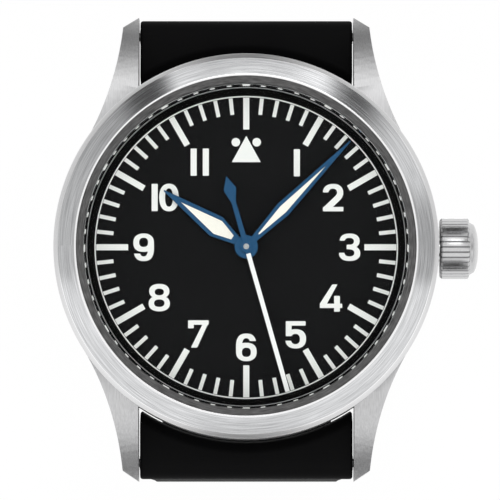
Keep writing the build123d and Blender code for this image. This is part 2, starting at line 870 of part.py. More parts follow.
with BuildPart() as barrel_bridge:
    add(bridge_blank(barrel_bridge_shares))
    with BuildSketch(Plane.XY.offset(movement_back)):
        with Locations(barrel_at):
            Circle(ratchet_radius + winding_wheel_module + recess_gap)
        with Locations(crown_wheel_at):
            Circle(crown_wheel_radius + winding_wheel_module + recess_gap)
        with Locations(click_at):
            Circle(click_recess)
    extrude(amount=recess_depth, mode=Mode.SUBTRACT)
    with BuildSketch(Plane.XY.offset(movement_back)):
        with Locations(barrel_at):
            Circle(barrel_arbor_radius + pivot_fit)
        with Locations(((winding_start + winding_end) / 2, 0)):
            Rectangle(winding_end - winding_start + 2 * case_fit, winding_radius + winding_slot_margin)
    extrude(amount=bridge_thickness, mode=Mode.SUBTRACT)
    with BuildSketch(Plane.XY.offset(recess_floor)):
        with Locations(crown_wheel_at):
            Circle(wheel_hub_radius)
        with Locations(click_at):
            Circle(click_pin_radius)
    extrude(amount=-(winding_wheel_height + running_fit))
    add(screw_holes(), mode=Mode.SUBTRACT)
barrel_bridge.part.label = "barrel_bridge"
export_step(barrel_bridge.part, "parts/barrel_bridge.step")

with BuildPart() as train_bridge:
    add(bridge_blank(train_bridge_shares))
    with BuildSketch(Plane.XY.offset(movement_back)):
        with Locations(centre_at, third_at, fourth_at, escape_at):
            RegularPolygon(jewel_radius, jewel_sides)
    extrude(amount=bridge_thickness, mode=Mode.SUBTRACT)
    add(screw_holes(), mode=Mode.SUBTRACT)
train_bridge.part.label = "train_bridge"
export_step(train_bridge.part, "parts/train_bridge.step")

# Balance cock: a tongue from the rim that carries the balance jewel
cock_bearing = bearing(centre_at, balance_at)
cock_reach = hypot(*balance_at)
with BuildPart() as balance_cock:
    with BuildSketch(Plane.XY.offset(movement_back)):
        with Locations(Rotation(0, 0, cock_bearing)):
            with BuildSketch(mode=Mode.PRIVATE) as tongue:
                with BuildLine():
                    Polyline(
                        (cock_reach, cock_half_width),
                        (movement_radius, cock_foot_half_width),
                        (movement_radius, -cock_foot_half_width),
                        (cock_reach, -cock_half_width),
                        close=True,
                    )
                make_face()
                with Locations((cock_reach, 0)):
                    Circle(cock_half_width)
            add(tongue.sketch)
        Circle(bridge_radius, mode=Mode.INTERSECT)
        with Locations(balance_at):
            RegularPolygon(jewel_radius, jewel_sides, mode=Mode.SUBTRACT)
    extrude(amount=bridge_thickness)
    add(screw_holes(), mode=Mode.SUBTRACT)
balance_cock.part.label = "balance_cock"
export_step(balance_cock.part, "parts/balance_cock.step")

# Pallet bridge: a bar under the balance, on two feet
pallet_bridge_top = fork_back - pallet_bridge_gap
with BuildPart() as pallet_bridge:
    with BuildSketch(Plane.XY.offset(pallet_bridge_top)):
        with Locations(pallet_at):
            SlotCenterToCenter(2 * pallet_bridge_half_length, pallet_bridge_width, rotation=90)
            RegularPolygon(arbor_pivot + pivot_fit, jewel_sides, major_radius=False, mode=Mode.SUBTRACT)
    extrude(amount=-pallet_bridge_thickness)
    with BuildSketch(Plane.XY.offset(pallet_bridge_top)):
        with Locations(
            (pallet_at[0], pallet_at[1] + pallet_bridge_half_length),
            (pallet_at[0], pallet_at[1] - pallet_bridge_half_length),
        ):
            Circle(pallet_bridge_width / 2)
    extrude(amount=plate_back - pallet_bridge_top)
pallet_bridge.part.label = "pallet_bridge"
export_step(pallet_bridge.part, "parts/pallet_bridge.step")

# Jewels: pressed rings in the plate and the bridges
with BuildPart() as jewels:
    for centre in jewelled:
        with Locations(centre):
            add(small_disc(jewel_radius, plate_back, plate_back + jewel_thickness, jewel_sides,
                           bore=arbor_pivot + pivot_fit))
    for centre in (third_at, fourth_at, escape_at, balance_at):
        with Locations(centre):
            add(small_disc(jewel_radius, bridge_front - jewel_thickness, bridge_front, jewel_sides,
                           bore=arbor_pivot + pivot_fit))
    with Locations(centre_at):
        add(small_disc(jewel_radius, bridge_front - jewel_thickness, bridge_front, jewel_sides,
                       bore=seconds_arbor_radius + pivot_fit))
jewels.part.label = "jewels"
export_step(jewels.part, "parts/jewels.step")

# Movement screws: the bridges' screws and the two round clamps that hold the movement in its holder
with BuildPart() as movement_screws:
    for angle in bridge_screw_angles:
        with Locations(polar(screw_place, angle)):
            add(disc(screw_head_radius, movement_back - screw_head_height, movement_back))
            add(small_disc(screw_shank_radius, movement_back, bridge_front + screw_shank_length, screw_sides))
    for angle in clamp_angles:
        with Locations(polar(clamp_place, angle)):
            add(disc(clamp_radius, movement_back - clamp_thickness, movement_back))
movement_screws.part.label = "movement_screws"
export_step(movement_screws.part, "parts/movement_screws.step")

# Phases that let each tooth meet a gap
barrel_phase = bearing(barrel_at, centre_at)
centre_pinion_phase = meshed(barrel_phase, barrel_teeth, barrel_at, centre_at, centre_leaves)
centre_wheel_phase = bearing(centre_at, third_at)
third_pinion_phase = meshed(centre_wheel_phase, centre_teeth, centre_at, third_at, third_leaves)
third_wheel_phase = bearing(third_at, centre_at)
seconds_phase = meshed(third_wheel_phase, third_teeth, third_at, centre_at, fourth_leaves)
fourth_pinion_phase = meshed(third_wheel_phase, third_teeth, third_at, fourth_at, fourth_leaves)
fourth_wheel_phase = bearing(fourth_at, escape_at)
escape_phase = meshed(fourth_wheel_phase, fourth_teeth, fourth_at, escape_at, escape_leaves)
cannon_phase = bearing(centre_at, minute_wheel_at)
minute_wheel_phase = meshed(cannon_phase, cannon_leaves, centre_at, minute_wheel_at, minute_teeth)
minute_pinion_phase = bearing(minute_wheel_at, centre_at)
hour_phase = meshed(minute_pinion_phase, minute_leaves, minute_wheel_at, centre_at, hour_teeth)
setting_phase = meshed(minute_wheel_phase, minute_teeth, minute_wheel_at, setting_wheel_at, setting_teeth)
crown_wheel_phase = bearing(crown_wheel_at, barrel_at)
ratchet_phase = meshed(crown_wheel_phase, crown_wheel_teeth, crown_wheel_at, barrel_at, ratchet_teeth)

# Barrel: toothed drum, cover, mainspring, arbor with the ratchet wheel
drum_top = drum_back + drum_height
with BuildPart() as barrel_drum:
    with Locations(barrel_at):
        add(turned([
            (barrel_arbor_radius + pivot_fit, drum_top),
            (barrel_arbor_radius + pivot_fit, drum_top - drum_floor),
            (drum_radius - drum_wall, drum_top - drum_floor),
            (drum_radius - drum_wall, drum_back),
            (drum_radius, drum_back),
            (drum_radius, drum_top),
        ]))
        add(gear(barrel_teeth, barrel_module, drum_top - barrel_gear_height - arbor_play,
                 drum_top - arbor_play, barrel_phase, bore=drum_radius - drum_wall / 2))
barrel_drum.part.label = "barrel_drum"
export_step(barrel_drum.part, "parts/barrel_drum.step")

with BuildPart() as barrel_cover:
    with Locations(barrel_at):
        add(disc(drum_radius - drum_wall, drum_back, drum_back + cover_thickness,
                 bore=barrel_arbor_radius + pivot_fit))
barrel_cover.part.label = "barrel_cover"
export_step(barrel_cover.part, "parts/barrel_cover.step")

mainspring_outer = drum_radius - drum_wall - mainspring_strip / 2 - mainspring_pitch / 2
mainspring_start = mainspring_outer - mainspring_turns * mainspring_pitch
mainspring_back = drum_back + cover_thickness + arbor_play
with BuildPart() as mainspring:
    with Locations(barrel_at):
        add(strip(mainspring_start, mainspring_strip, mainspring_pitch, mainspring_turns,
                  mainspring_back, mainspring_back + mainspring_height))
mainspring.part.label = "mainspring"
export_step(mainspring.part, "parts/mainspring.step")

winding_wheel_front = recess_floor - arbor_play
winding_wheel_back = winding_wheel_front - winding_wheel_height
with BuildPart() as ratchet_wheel:
    with Locations(barrel_at):
        add(gear(ratchet_teeth, winding_wheel_module, winding_wheel_back, winding_wheel_front, ratchet_phase))
ratchet_wheel.part.label = "ratchet_wheel"
export_step(ratchet_wheel.part, "parts/ratchet_wheel.step")

with BuildPart() as barrel_arbor:
    with Locations(barrel_at):
        add(disc(barrel_arbor_radius, winding_wheel_front, plate_back - arbor_play))
        add(disc(barrel_pivot_radius, plate_back - arbor_play, plate_back + barrel_pivot_length))
barrel_arbor.part.label = "barrel_arbor"
export_step(barrel_arbor.part, "parts/barrel_arbor.step")

with BuildPart() as crown_wheel:
    with Locations(crown_wheel_at):
        add(gear(crown_wheel_teeth, winding_wheel_module, winding_wheel_back, winding_wheel_front,
                 crown_wheel_phase, bore=wheel_hub_radius + pivot_fit))
crown_wheel.part.label = "crown_wheel"
export_step(crown_wheel.part, "parts/crown_wheel.step")

# Click: a pawl that leans on the ratchet wheel, and its wire spring
click_bearing = bearing(click_at, barrel_at)
with BuildPart() as click:
    with BuildSketch(Plane.XY.offset(winding_wheel_back)):
        with Locations(Location((*click_at, 0), (0, 0, click_bearing + click_lean))):
            with BuildSketch(mode=Mode.PRIVATE) as pawl:
                Circle(click_radius)
                with BuildLine():
                    Polyline(
                        (0, click_radius),
                        (click_reach - click_radius / 3, -click_radius / 3),
                        (click_reach - click_radius, -click_radius),
                        (0, -click_radius),
                        close=True,
                    )
                make_face()
                Circle(click_pin_radius + pivot_fit, mode=Mode.SUBTRACT)
            add(pawl.sketch)
    extrude(amount=winding_wheel_height)
click.part.label = "click"
export_step(click.part, "parts/click.step")

with BuildPart() as click_spring:
    with BuildSketch(Plane.XY.offset(winding_wheel_back)):
        with Locations(click_at):
            Circle(click_spring_radius + click_spring_width)
            Circle(click_spring_radius, mode=Mode.SUBTRACT)
        with Locations((click_at[0], click_at[1] - click_recess)):
            Rectangle(4 * click_recess, 2 * click_recess, mode=Mode.SUBTRACT)
    extrude(amount=winding_wheel_height + arbor_play)
click_spring.part.label = "click_spring"
export_step(click_spring.part, "parts/click_spring.step")

# Going train: each wheel with its pinion and arbor
centre_wheel_back = plate_back - arbor_play * 2 - centre_wheel_thickness
with BuildPart() as centre_wheel:
    add(gear(centre_teeth, centre_module, centre_wheel_back, centre_wheel_back + centre_wheel_thickness,
             centre_wheel_phase, bore=hollow_arbor_radius, arms=wheel_arms))
    add(gear(centre_leaves, barrel_module, drum_top - barrel_gear_height - 3 * arbor_play, centre_wheel_back,
             centre_pinion_phase))
    add(disc(hollow_arbor_radius, centre_wheel_back, motion_floor + arbor_play))
    add(disc(hollow_neck_radius, motion_floor + arbor_play, dial_top))
    add(disc(hollow_arbor_bore, bridge_front, dial_top + overrun), mode=Mode.SUBTRACT)
centre_wheel.part.label = "centre_wheel"
export_step(centre_wheel.part, "parts/centre_wheel.step")

train_low = bridge_front + arbor_play
train_high = plate_back - arbor_play


def arbor():
    """A plain arbor about Z with a pivot at each end."""
    with BuildPart() as made:
        add(disc(arbor_radius, train_low, train_high))
        add(small_disc(arbor_pivot, train_low - pivot_length - arbor_play, train_low, jewel_sides))
        add(small_disc(arbor_pivot, train_high, train_high + pivot_length + arbor_play, jewel_sides))
    return made.part


third_wheel_back = bridge_front + third_wheel_lift
with BuildPart() as third_wheel:
    with Locations(third_at):
        add(arbor())
        add(gear(third_teeth, third_module, third_wheel_back, third_wheel_back + wheel_thickness,
                 third_wheel_phase, arms=wheel_arms))
        add(gear(third_leaves, centre_module, centre_wheel_back - arbor_play, train_high, third_pinion_phase))
third_wheel.part.label = "third_wheel"
export_step(third_wheel.part, "parts/third_wheel.step")

pinion_back = third_wheel_back - (pinion_length - wheel_thickness) / 2
fourth_wheel_back = bridge_front + fourth_wheel_lift
with BuildPart() as fourth_wheel:
    with Locations(fourth_at):
        add(arbor())
        add(gear(fourth_leaves, third_module, pinion_back, pinion_back + pinion_length, fourth_pinion_phase))
        add(gear(fourth_teeth, fourth_module, fourth_wheel_back, fourth_wheel_back + wheel_thickness,
                 fourth_wheel_phase, arms=wheel_arms))
fourth_wheel.part.label = "fourth_wheel"
export_step(fourth_wheel.part, "parts/fourth_wheel.step")

seconds_hand_back = dial_top + seconds_hand_rise
with BuildPart() as seconds_pinion:
    add(gear(fourth_leaves, third_module, pinion_back, pinion_back + pinion_length, seconds_phase))
    add(disc(seconds_arbor_radius, bridge_front - pivot_length, seconds_hand_back + seconds_hand_thickness))
seconds_pinion.part.label = "seconds_pinion"
export_step(seconds_pinion.part, "parts/seconds_pinion.step")


def escape_blade():
    """The escape wheel's flat blade, with leaning club teeth."""
    points = []
    step = 360 / escape_teeth
    corners = ((escape_root, 0), (escape_radius, 1), (escape_radius, escape_heel_shares[0]),
               (escape_root, escape_heel_shares[1]))
    for tooth in range(escape_teeth):
        for radius, lean_share in corners:
            points.append(polar(radius, tooth * step + lean_share * escape_lean))
    with BuildPart() as made:
        with BuildSketch(Plane.XY.offset(fork_back)):
            with BuildLine():
                Polyline(*points, close=True)
            make_face()
            add(arms_window(escape_root - wheel_arm, wheel_arms), mode=Mode.SUBTRACT)
        extrude(amount=fork_thickness)
    return made.part


def fork_blade():
    """The pallet fork's flat blade along +X: slotted lever towards the balance, two arms behind."""
    with BuildPart() as made:
        with BuildSketch(Plane.XY.offset(fork_back)):
            Circle(wheel_hub_radius / 2 + arbor_radius)
            Rectangle(fork_lever, fork_lever_width, align=(Align.MIN, Align.CENTER))
            with Locations((fork_lever, 0)):
                Circle(fork_slot + fork_lever_width / 2)
                Rectangle(fork_lever, fork_slot, align=(Align.MIN, Align.CENTER), mode=Mode.SUBTRACT)
            for turn in (fork_arm_angle, -fork_arm_angle):
                with Locations(Rotation(0, 0, turn)):
                    Rectangle(fork_arm, fork_arm_width, align=(Align.MIN, Align.CENTER))
        extrude(amount=fork_thickness)
    return made.part


def balance_rim():
    """The balance's rim with its arms and hub."""
    with BuildPart() as made:
        with BuildSketch(Plane.XY.offset(balance_back)):
            Circle(balance_radius)
            add(arms_window(balance_radius - balance_rim_width, balance_arms), mode=Mode.SUBTRACT)
        extrude(amount=balance_rim_height)
    return made.part


with BuildPart() as escape_wheel:
    with Locations(escape_at):
        add(arbor())
        add(gear(escape_leaves, fourth_module, fourth_wheel_back - (fork_back - fourth_wheel_back) / 2,
                 fork_back, escape_phase))
        add(escape_blade())
escape_wheel.part.label = "escape_wheel"
export_step(escape_wheel.part, "parts/escape_wheel.step")

# Pallet fork: lever towards the balance, two arms over the escape wheel
fork_bearing = bearing(pallet_at, balance_at)
with BuildPart() as pallet_fork:
    with Locations(Location((*pallet_at, 0), (0, 0, fork_bearing))):
        add(fork_blade())
        add(disc(arbor_radius, pallet_bridge_top + arbor_play, train_high))
        add(small_disc(arbor_pivot, pallet_bridge_top - pallet_bridge_thickness,
                       train_high + pivot_length + arbor_play, jewel_sides))
pallet_fork.part.label = "pallet_fork"
export_step(pallet_fork.part, "parts/pallet_fork.step")

# Balance wheel with staff, roller and impulse pin
roller_back = pallet_bridge_top - pallet_bridge_thickness / 2
with BuildPart() as balance_wheel:
    with Locations(balance_at):
        add(arbor())
        add(balance_rim())
        add(disc(roller_radius, roller_back, roller_back + roller_height))
    with Locations((balance_at[0] - roller_radius + 2 * impulse_pin_radius, balance_at[1])):
        add(disc(impulse_pin_radius, roller_back, fork_back + fork_thickness))
balance_wheel.part.label = "balance_wheel"
export_step(balance_wheel.part, "parts/balance_wheel.step")

with BuildPart() as hairspring:
    with Locations(balance_at):
        add(strip(hairspring_start, hairspring_strip, hairspring_pitch, hairspring_turns,
                  hairspring_back, hairspring_back + hairspring_height))
hairspring.part.label = "hairspring"
export_step(hairspring.part, "parts/hairspring.step")

# Motion work
minute_hand_back = dial_top + minute_hand_rise
hour_hand_back = dial_top + hour_hand_rise
with BuildPart() as cannon_pinion:
    add(gear(cannon_leaves, minute_module, motion_floor + arbor_play, motion_floor + cannon_length,
             cannon_phase))
    add(disc(cannon_tube_radius, motion_floor + cannon_length, minute_hand_back + hand_thickness))
    add(disc(hollow_neck_radius, motion_floor, dial_top), mode=Mode.SUBTRACT)
    add(disc(hollow_arbor_bore, dial_top, minute_hand_back + overrun), mode=Mode.SUBTRACT)
cannon_pinion.part.label = "cannon_pinion"
export_step(cannon_pinion.part, "parts/cannon_pinion.step")

minute_wheel_back = motion_floor + minute_wheel_lift
hour_wheel_back = motion_floor + hour_wheel_lift
with BuildPart() as minute_wheel:
    with Locations(minute_wheel_at):
        add(gear(minute_teeth, minute_module, minute_wheel_back, minute_wheel_back + minute_wheel_thickness,
                 minute_wheel_phase))
        add(gear(minute_leaves, hour_module, minute_wheel_back + minute_wheel_thickness,
                 hour_wheel_back + hour_wheel_thickness, minute_pinion_phase))
        add(disc(motion_post_radius + pivot_fit, motion_floor, plate_front), mode=Mode.SUBTRACT)
minute_wheel.part.label = "minute_wheel"
export_step(minute_wheel.part, "parts/minute_wheel.step")

with BuildPart() as hour_wheel:
    add(gear(hour_teeth, hour_module, hour_wheel_back, hour_wheel_back + hour_wheel_thickness, hour_phase))
    add(disc(hour_tube_radius, hour_wheel_back, hour_hand_back + hand_thickness))
    add(disc(cannon_tube_radius + pivot_fit, motion_floor, dial_top + overrun), mode=Mode.SUBTRACT)
hour_wheel.part.label = "hour_wheel"
export_step(hour_wheel.part, "parts/hour_wheel.step")

with BuildPart() as setting_wheel:
    with Locations(setting_wheel_at):
        add(gear(setting_teeth, minute_module, minute_wheel_back, minute_wheel_back + minute_wheel_thickness,
                 setting_phase, bore=motion_post_radius + pivot_fit))
setting_wheel.part.label = "setting_wheel"
export_step(setting_wheel.part, "parts/setting_wheel.step")

# Hands, each with a window that its lume fills
hour_lume_stations = [
    (hour_lume_start, hour_lume_base), (hour_lume_place, hour_lume_width), (hour_lume_tip, 0),
]
minute_lume_stations = [
    (minute_lume_start, minute_lume_base), (minute_lume_place, minute_lume_width), (minute_lume_tip, 0),
]
with BuildPart() as hour_hand:
    with BuildSketch(Plane.XY.offset(hour_hand_back)):
        with Locations(Rotation(0, 0, dial_direction(hour_angle))):
            with BuildSketch(mode=Mode.PRIVATE) as hour_blade:
                with BuildLine():
                    Polyline(*pointer_outline([
                        (0, hour_base_width), (hub_radius, hour_base_width),
                        (hour_wide_place, hour_wide_width), (hour_tip, hand_tip_width),
                    ]), close=True)
                make_face()
                Circle(hub_radius)
                with BuildLine():
                    Polyline(*pointer_outline(hour_lume_stations), close=True)
                make_face(mode=Mode.SUBTRACT)
                Circle(hour_tube_radius, mode=Mode.SUBTRACT)
            add(hour_blade.sketch)
    extrude(amount=hand_thickness)
hour_hand.part.label = "hour_hand"
export_step(hour_hand.part, "parts/hour_hand.step")

with BuildPart() as hour_lume:
    with BuildSketch(Plane.XY.offset(hour_hand_back)):
        with Locations(Rotation(0, 0, dial_direction(hour_angle))):
            with BuildSketch(mode=Mode.PRIVATE) as hour_fill:
                with BuildLine():
                    Polyline(*pointer_outline(hour_lume_stations), close=True)
                make_face()
            add(hour_fill.sketch)
    extrude(amount=hand_thickness - seat_fit)
hour_lume.part.label = "hour_lume"
export_step(hour_lume.part, "parts/hour_lume.step")

with BuildPart() as minute_hand:
    with BuildSketch(Plane.XY.offset(minute_hand_back)):
        with Locations(Rotation(0, 0, dial_direction(minute_angle))):
            with BuildSketch(mode=Mode.PRIVATE) as minute_blade:
                with BuildLine():
                    Polyline(*pointer_outline([
                        (0, minute_base_width), (hub_radius, minute_base_width),
                        (minute_wide_place, minute_wide_width), (minute_tip, hand_tip_width),
                    ]), close=True)
                make_face()
                Circle(hub_radius)
                with BuildLine():
                    Polyline(*pointer_outline(minute_lume_stations), close=True)
                make_face(mode=Mode.SUBTRACT)
                Circle(cannon_tube_radius, mode=Mode.SUBTRACT)
            add(minute_blade.sketch)
    extrude(amount=hand_thickness)
minute_hand.part.label = "minute_hand"
export_step(minute_hand.part, "parts/minute_hand.step")

with BuildPart() as minute_lume:
    with BuildSketch(Plane.XY.offset(minute_hand_back)):
        with Locations(Rotation(0, 0, dial_direction(minute_angle))):
            with BuildSketch(mode=Mode.PRIVATE) as minute_fill:
                with BuildLine():
                    Polyline(*pointer_outline(minute_lume_stations), close=True)
                make_face()
            add(minute_fill.sketch)
    extrude(amount=hand_thickness - seat_fit)
minute_lume.part.label = "minute_lume"
export_step(minute_lume.part, "parts/minute_lume.step")

with BuildPart() as seconds_hand:
    with BuildSketch(Plane.XY.offset(seconds_hand_back)):
        with Locations(Rotation(0, 0, dial_direction(seconds_angle))):
            with BuildSketch(mode=Mode.PRIVATE) as seconds_blade:
                with Locations((-seconds_tail_neck, 0)):
                    Rectangle(seconds_tail_neck + seconds_tip, seconds_width, align=(Align.MIN, Align.CENTER))
                with BuildLine():
                    Polyline(
                        (-seconds_tail_neck, seconds_width / 2),
                        (-seconds_tail_place, seconds_tail_width / 2),
                        (-seconds_tail_tip, 0),
                        (-seconds_tail_place, -seconds_tail_width / 2),
                        (-seconds_tail_neck, -seconds_width / 2),
                        close=True,
                    )
                make_face()
                Circle(seconds_hub_radius)
                Circle(seconds_arbor_radius, mode=Mode.SUBTRACT)
            add(seconds_blade.sketch)
    extrude(amount=seconds_hand_thickness)
    add(disc(pipe_radius, seconds_hand_back + seconds_hand_thickness,
             seconds_hand_back + seconds_hand_thickness + pipe_rise))
seconds_hand.part.label = "seconds_hand"
export_step(seconds_hand.part, "parts/seconds_hand.step")

# Winding work: crown, stem and pinions lie along +X at the height of the stem
stem_frame = Plane(origin=(0, 0, stem_z), x_dir=(0, 1, 0), z_dir=(1, 0, 0))
with BuildPart() as crown_tube:
    with BuildSketch(stem_frame.offset(tube_inner_end)):
        Circle(tube_radius)
        Circle(tube_bore, mode=Mode.SUBTRACT)
    extrude(amount=tube_outer_end - tube_inner_end)
crown_tube.part.label = "crown_tube"
export_step(crown_tube.part, "parts/crown_tube.step")

crown_grip_end = crown_face + crown_grip_length
crown_module = 2 * crown_radius / (crown_flutes + 2 * tooth_addendum)
with BuildPart() as crown:
    with Locations(stem_frame.location):
        add(gear(crown_flutes, crown_module, crown_face, crown_grip_end))
        with BuildSketch(Plane.XZ, mode=Mode.PRIVATE) as crown_turning:
            with BuildLine():
                Polyline(
                    (0, crown_face),
                    (crown_radius - crown_chamfer, crown_face),
                    (crown_radius, crown_face + crown_chamfer),
                    (crown_radius, crown_grip_end - crown_chamfer),
                    (crown_cap_radius + crown_chamfer, crown_grip_end),
                    (crown_cap_radius, crown_grip_end),
                )
                ThreePointArc(
                    (crown_cap_radius, crown_grip_end),
                    ((crown_cap_radius + crown_cap_flat) / 2 + crown_cap_bulge,
                     crown_grip_end + crown_cap_length / 2 + crown_cap_bulge),
                    (crown_cap_flat, crown_grip_end + crown_cap_length),
                )
                Polyline((crown_cap_flat, crown_grip_end + crown_cap_length),
                         (0, crown_grip_end + crown_cap_length), (0, crown_face))
            make_face()
        with BuildPart(mode=Mode.PRIVATE) as crown_envelope:
            revolve(crown_turning.sketch, axis=Axis.Z)
        with BuildPart(mode=Mode.PRIVATE) as crown_cap:
            add(crown_envelope.part)
            add(disc(crown_radius + overrun, crown_face - overrun, crown_grip_end), mode=Mode.SUBTRACT)
        add(crown_envelope.part, mode=Mode.INTERSECT)
        add(crown_cap.part)
        add(disc(crown_recess_radius, crown_face, crown_face + crown_recess_depth), mode=Mode.SUBTRACT)
crown.part.label = "crown"
export_step(crown.part, "parts/crown.step")

with BuildPart() as winding_stem:
    with BuildSketch(stem_frame.offset(stem_square_end)):
        Circle(stem_radius)
    extrude(amount=crown_face + crown_recess_depth - stem_square_end)
    with BuildSketch(stem_frame.offset(stem_shoulder)):
        Rectangle(stem_square, stem_square)
    extrude(amount=stem_square_end - stem_shoulder)
    with BuildSketch(stem_frame.offset(stem_pilot_start)):
        Circle(stem_pilot_radius)
    extrude(amount=stem_shoulder - stem_pilot_start)
    with BuildSketch(stem_frame.offset(stem_groove_place - stem_groove_width / 2)):
        Circle(stem_radius)
        Circle(stem_groove_radius, mode=Mode.SUBTRACT)
    extrude(amount=stem_groove_width, mode=Mode.SUBTRACT)
winding_stem.part.label = "winding_stem"
export_step(winding_stem.part, "parts/winding_stem.step")

with BuildPart() as winding_pinion:
    with Locations(stem_frame.location):
        add(gear(winding_teeth, winding_module, winding_start, winding_end, bore=stem_radius + pivot_fit))
winding_pinion.part.label = "winding_pinion"
export_step(winding_pinion.part, "parts/winding_pinion.step")

sliding_middle = (sliding_start + sliding_end) / 2
sliding_module = 2 * sliding_radius / (winding_teeth + 2 * tooth_addendum)
with BuildPart() as sliding_pinion:
    with Locations(stem_frame.location):
        add(gear(winding_teeth, sliding_module, sliding_start, sliding_end))
        add(disc(sliding_radius, sliding_middle - sliding_neck_width / 2,
                 sliding_middle + sliding_neck_width / 2, bore=sliding_neck), mode=Mode.SUBTRACT)
    with BuildSketch(stem_frame.offset(sliding_start)):
        Rectangle(stem_square + 2 * pivot_fit, stem_square + 2 * pivot_fit)
    extrude(amount=sliding_end - sliding_start, mode=Mode.SUBTRACT)
sliding_pinion.part.label = "sliding_pinion"
export_step(sliding_pinion.part, "parts/sliding_pinion.step")

# Setting lever: its pin sits in the groove of the stem
lever_back = plate_back - arbor_play - lever_thickness
lever_pin_y = -(stem_groove_radius + seat_fit + lever_pin_radius)
with BuildPart() as setting_lever:
    with BuildSketch(Plane.XY.offset(lever_back)):
        with Locations((lever_at[0], (lever_at[1] + lever_pin_y) / 2)):
            SlotCenterToCenter(lever_pin_y - lever_at[1], lever_width, rotation=90)
        with Locations(lever_at):
            Circle(lever_post_radius + pivot_fit, mode=Mode.SUBTRACT)
    extrude(amount=lever_thickness)
    with BuildSketch(Plane.XY.offset(lever_back)):
        with Locations((stem_groove_place, lever_pin_y)):
            Circle(lever_pin_radius)
    extrude(amount=-lever_pin_drop)
setting_lever.part.label = "setting_lever"
export_step(setting_lever.part, "parts/setting_lever.step")

# Spring bars: a tube in each lug bay and two sprung tips
bar_line = Plane(origin=(0, bar_y, bar_z), x_dir=(0, 1, 0), z_dir=(1, 0, 0))
with BuildPart() as bar_tube:
    with BuildSketch(bar_line):
        Circle(bar_radius)
    extrude(amount=bar_tube_length / 2, both=True)
    for side in (1, -1):
        with BuildSketch(bar_line.offset(side * (bar_tube_length / 2 - bar_pin_sunk - bar_collar_gap))):
            Circle(bar_pin_radius + pivot_fit)
        extrude(amount=side * (bar_pin_sunk + bar_collar_gap + overrun), mode=Mode.SUBTRACT)
bar_tip_end = lug_bay / 2 + bar_pin_depth
collar_start = bar_tube_length / 2 + bar_collar_gap
with BuildPart() as bar_tip:
    with BuildSketch(bar_line.offset(bar_tube_length / 2 - bar_pin_sunk)):
        Circle(bar_pin_radius)
    extrude(amount=bar_tip_end - bar_tube_length / 2 + bar_pin_sunk)
    with BuildSketch(bar_line.offset(collar_start)):
        Circle(bar_collar_radius)
    extrude(amount=bar_collar_width)

with BuildPart() as spring_bars:
    add(bar_tube.part)
    add(mirror(bar_tube.part, about=Plane.XZ))
spring_bars.part.label = "spring_bars"
export_step(spring_bars.part, "parts/spring_bars.step")

bar_tips = {
    "bar_tip_12_crown": bar_tip.part,
    "bar_tip_12_left": mirror(bar_tip.part, about=Plane.YZ),
    "bar_tip_6_crown": mirror(bar_tip.part, about=Plane.XZ),
    "bar_tip_6_left": mirror(mirror(bar_tip.part, about=Plane.XZ), about=Plane.YZ),
}
for tip_name, tip_shape in bar_tips.items():
    with BuildPart() as placed_tip:
        add(tip_shape)
    placed_tip.part.label = tip_name
    export_step(placed_tip.part, f"parts/{tip_name}.step")

# Strap: both halves share the fitted end that fills the lug bay
nose_top = bar_z + strap_nose
with BuildPart() as fitted_end:
    with BuildSketch(Plane.YZ):
        with Locations((bar_y, bar_z)):
            Circle(strap_nose)
        with BuildLine():
            Polyline(
                (lug_bay_depth, nose_top), (bar_y, nose_top),
                (bar_y, bar_z - strap_block_below), (lug_bay_depth, bar_z - strap_block_below), close=True,
            )
        make_face()
    extrude(amount=strap_width / 2, both=True)
    add(disc(case_radius + strap_case_gap, -overrun, band_top), mode=Mode.SUBTRACT)
    chamfer(
        fitted_end.edges().filter_by(GeomType.CIRCLE).group_by(Axis.Z)[-1],
        length=strap_block_chamfer,
    )

taper_outline = [
    (strap_width / 2, nose_top + overrun),
    (strap_width / 2, bar_z - strap_taper_start),
    (strap_narrow / 2, bar_z - strap_taper_end),
]


def front_cut(bottom):
    """The strap seen from the front: full width between the lugs, then narrower."""
    right = taper_outline + [(strap_narrow / 2, bottom)]
    left = [(-x, z) for x, z in reversed(right)]
    with BuildPart() as made:
        with BuildSketch(Plane.XZ):
            with BuildLine():
                Polyline(*right, *left, close=True)
            make_face()
        extrude(amount=2 * bar_y, both=True)
    return made.part


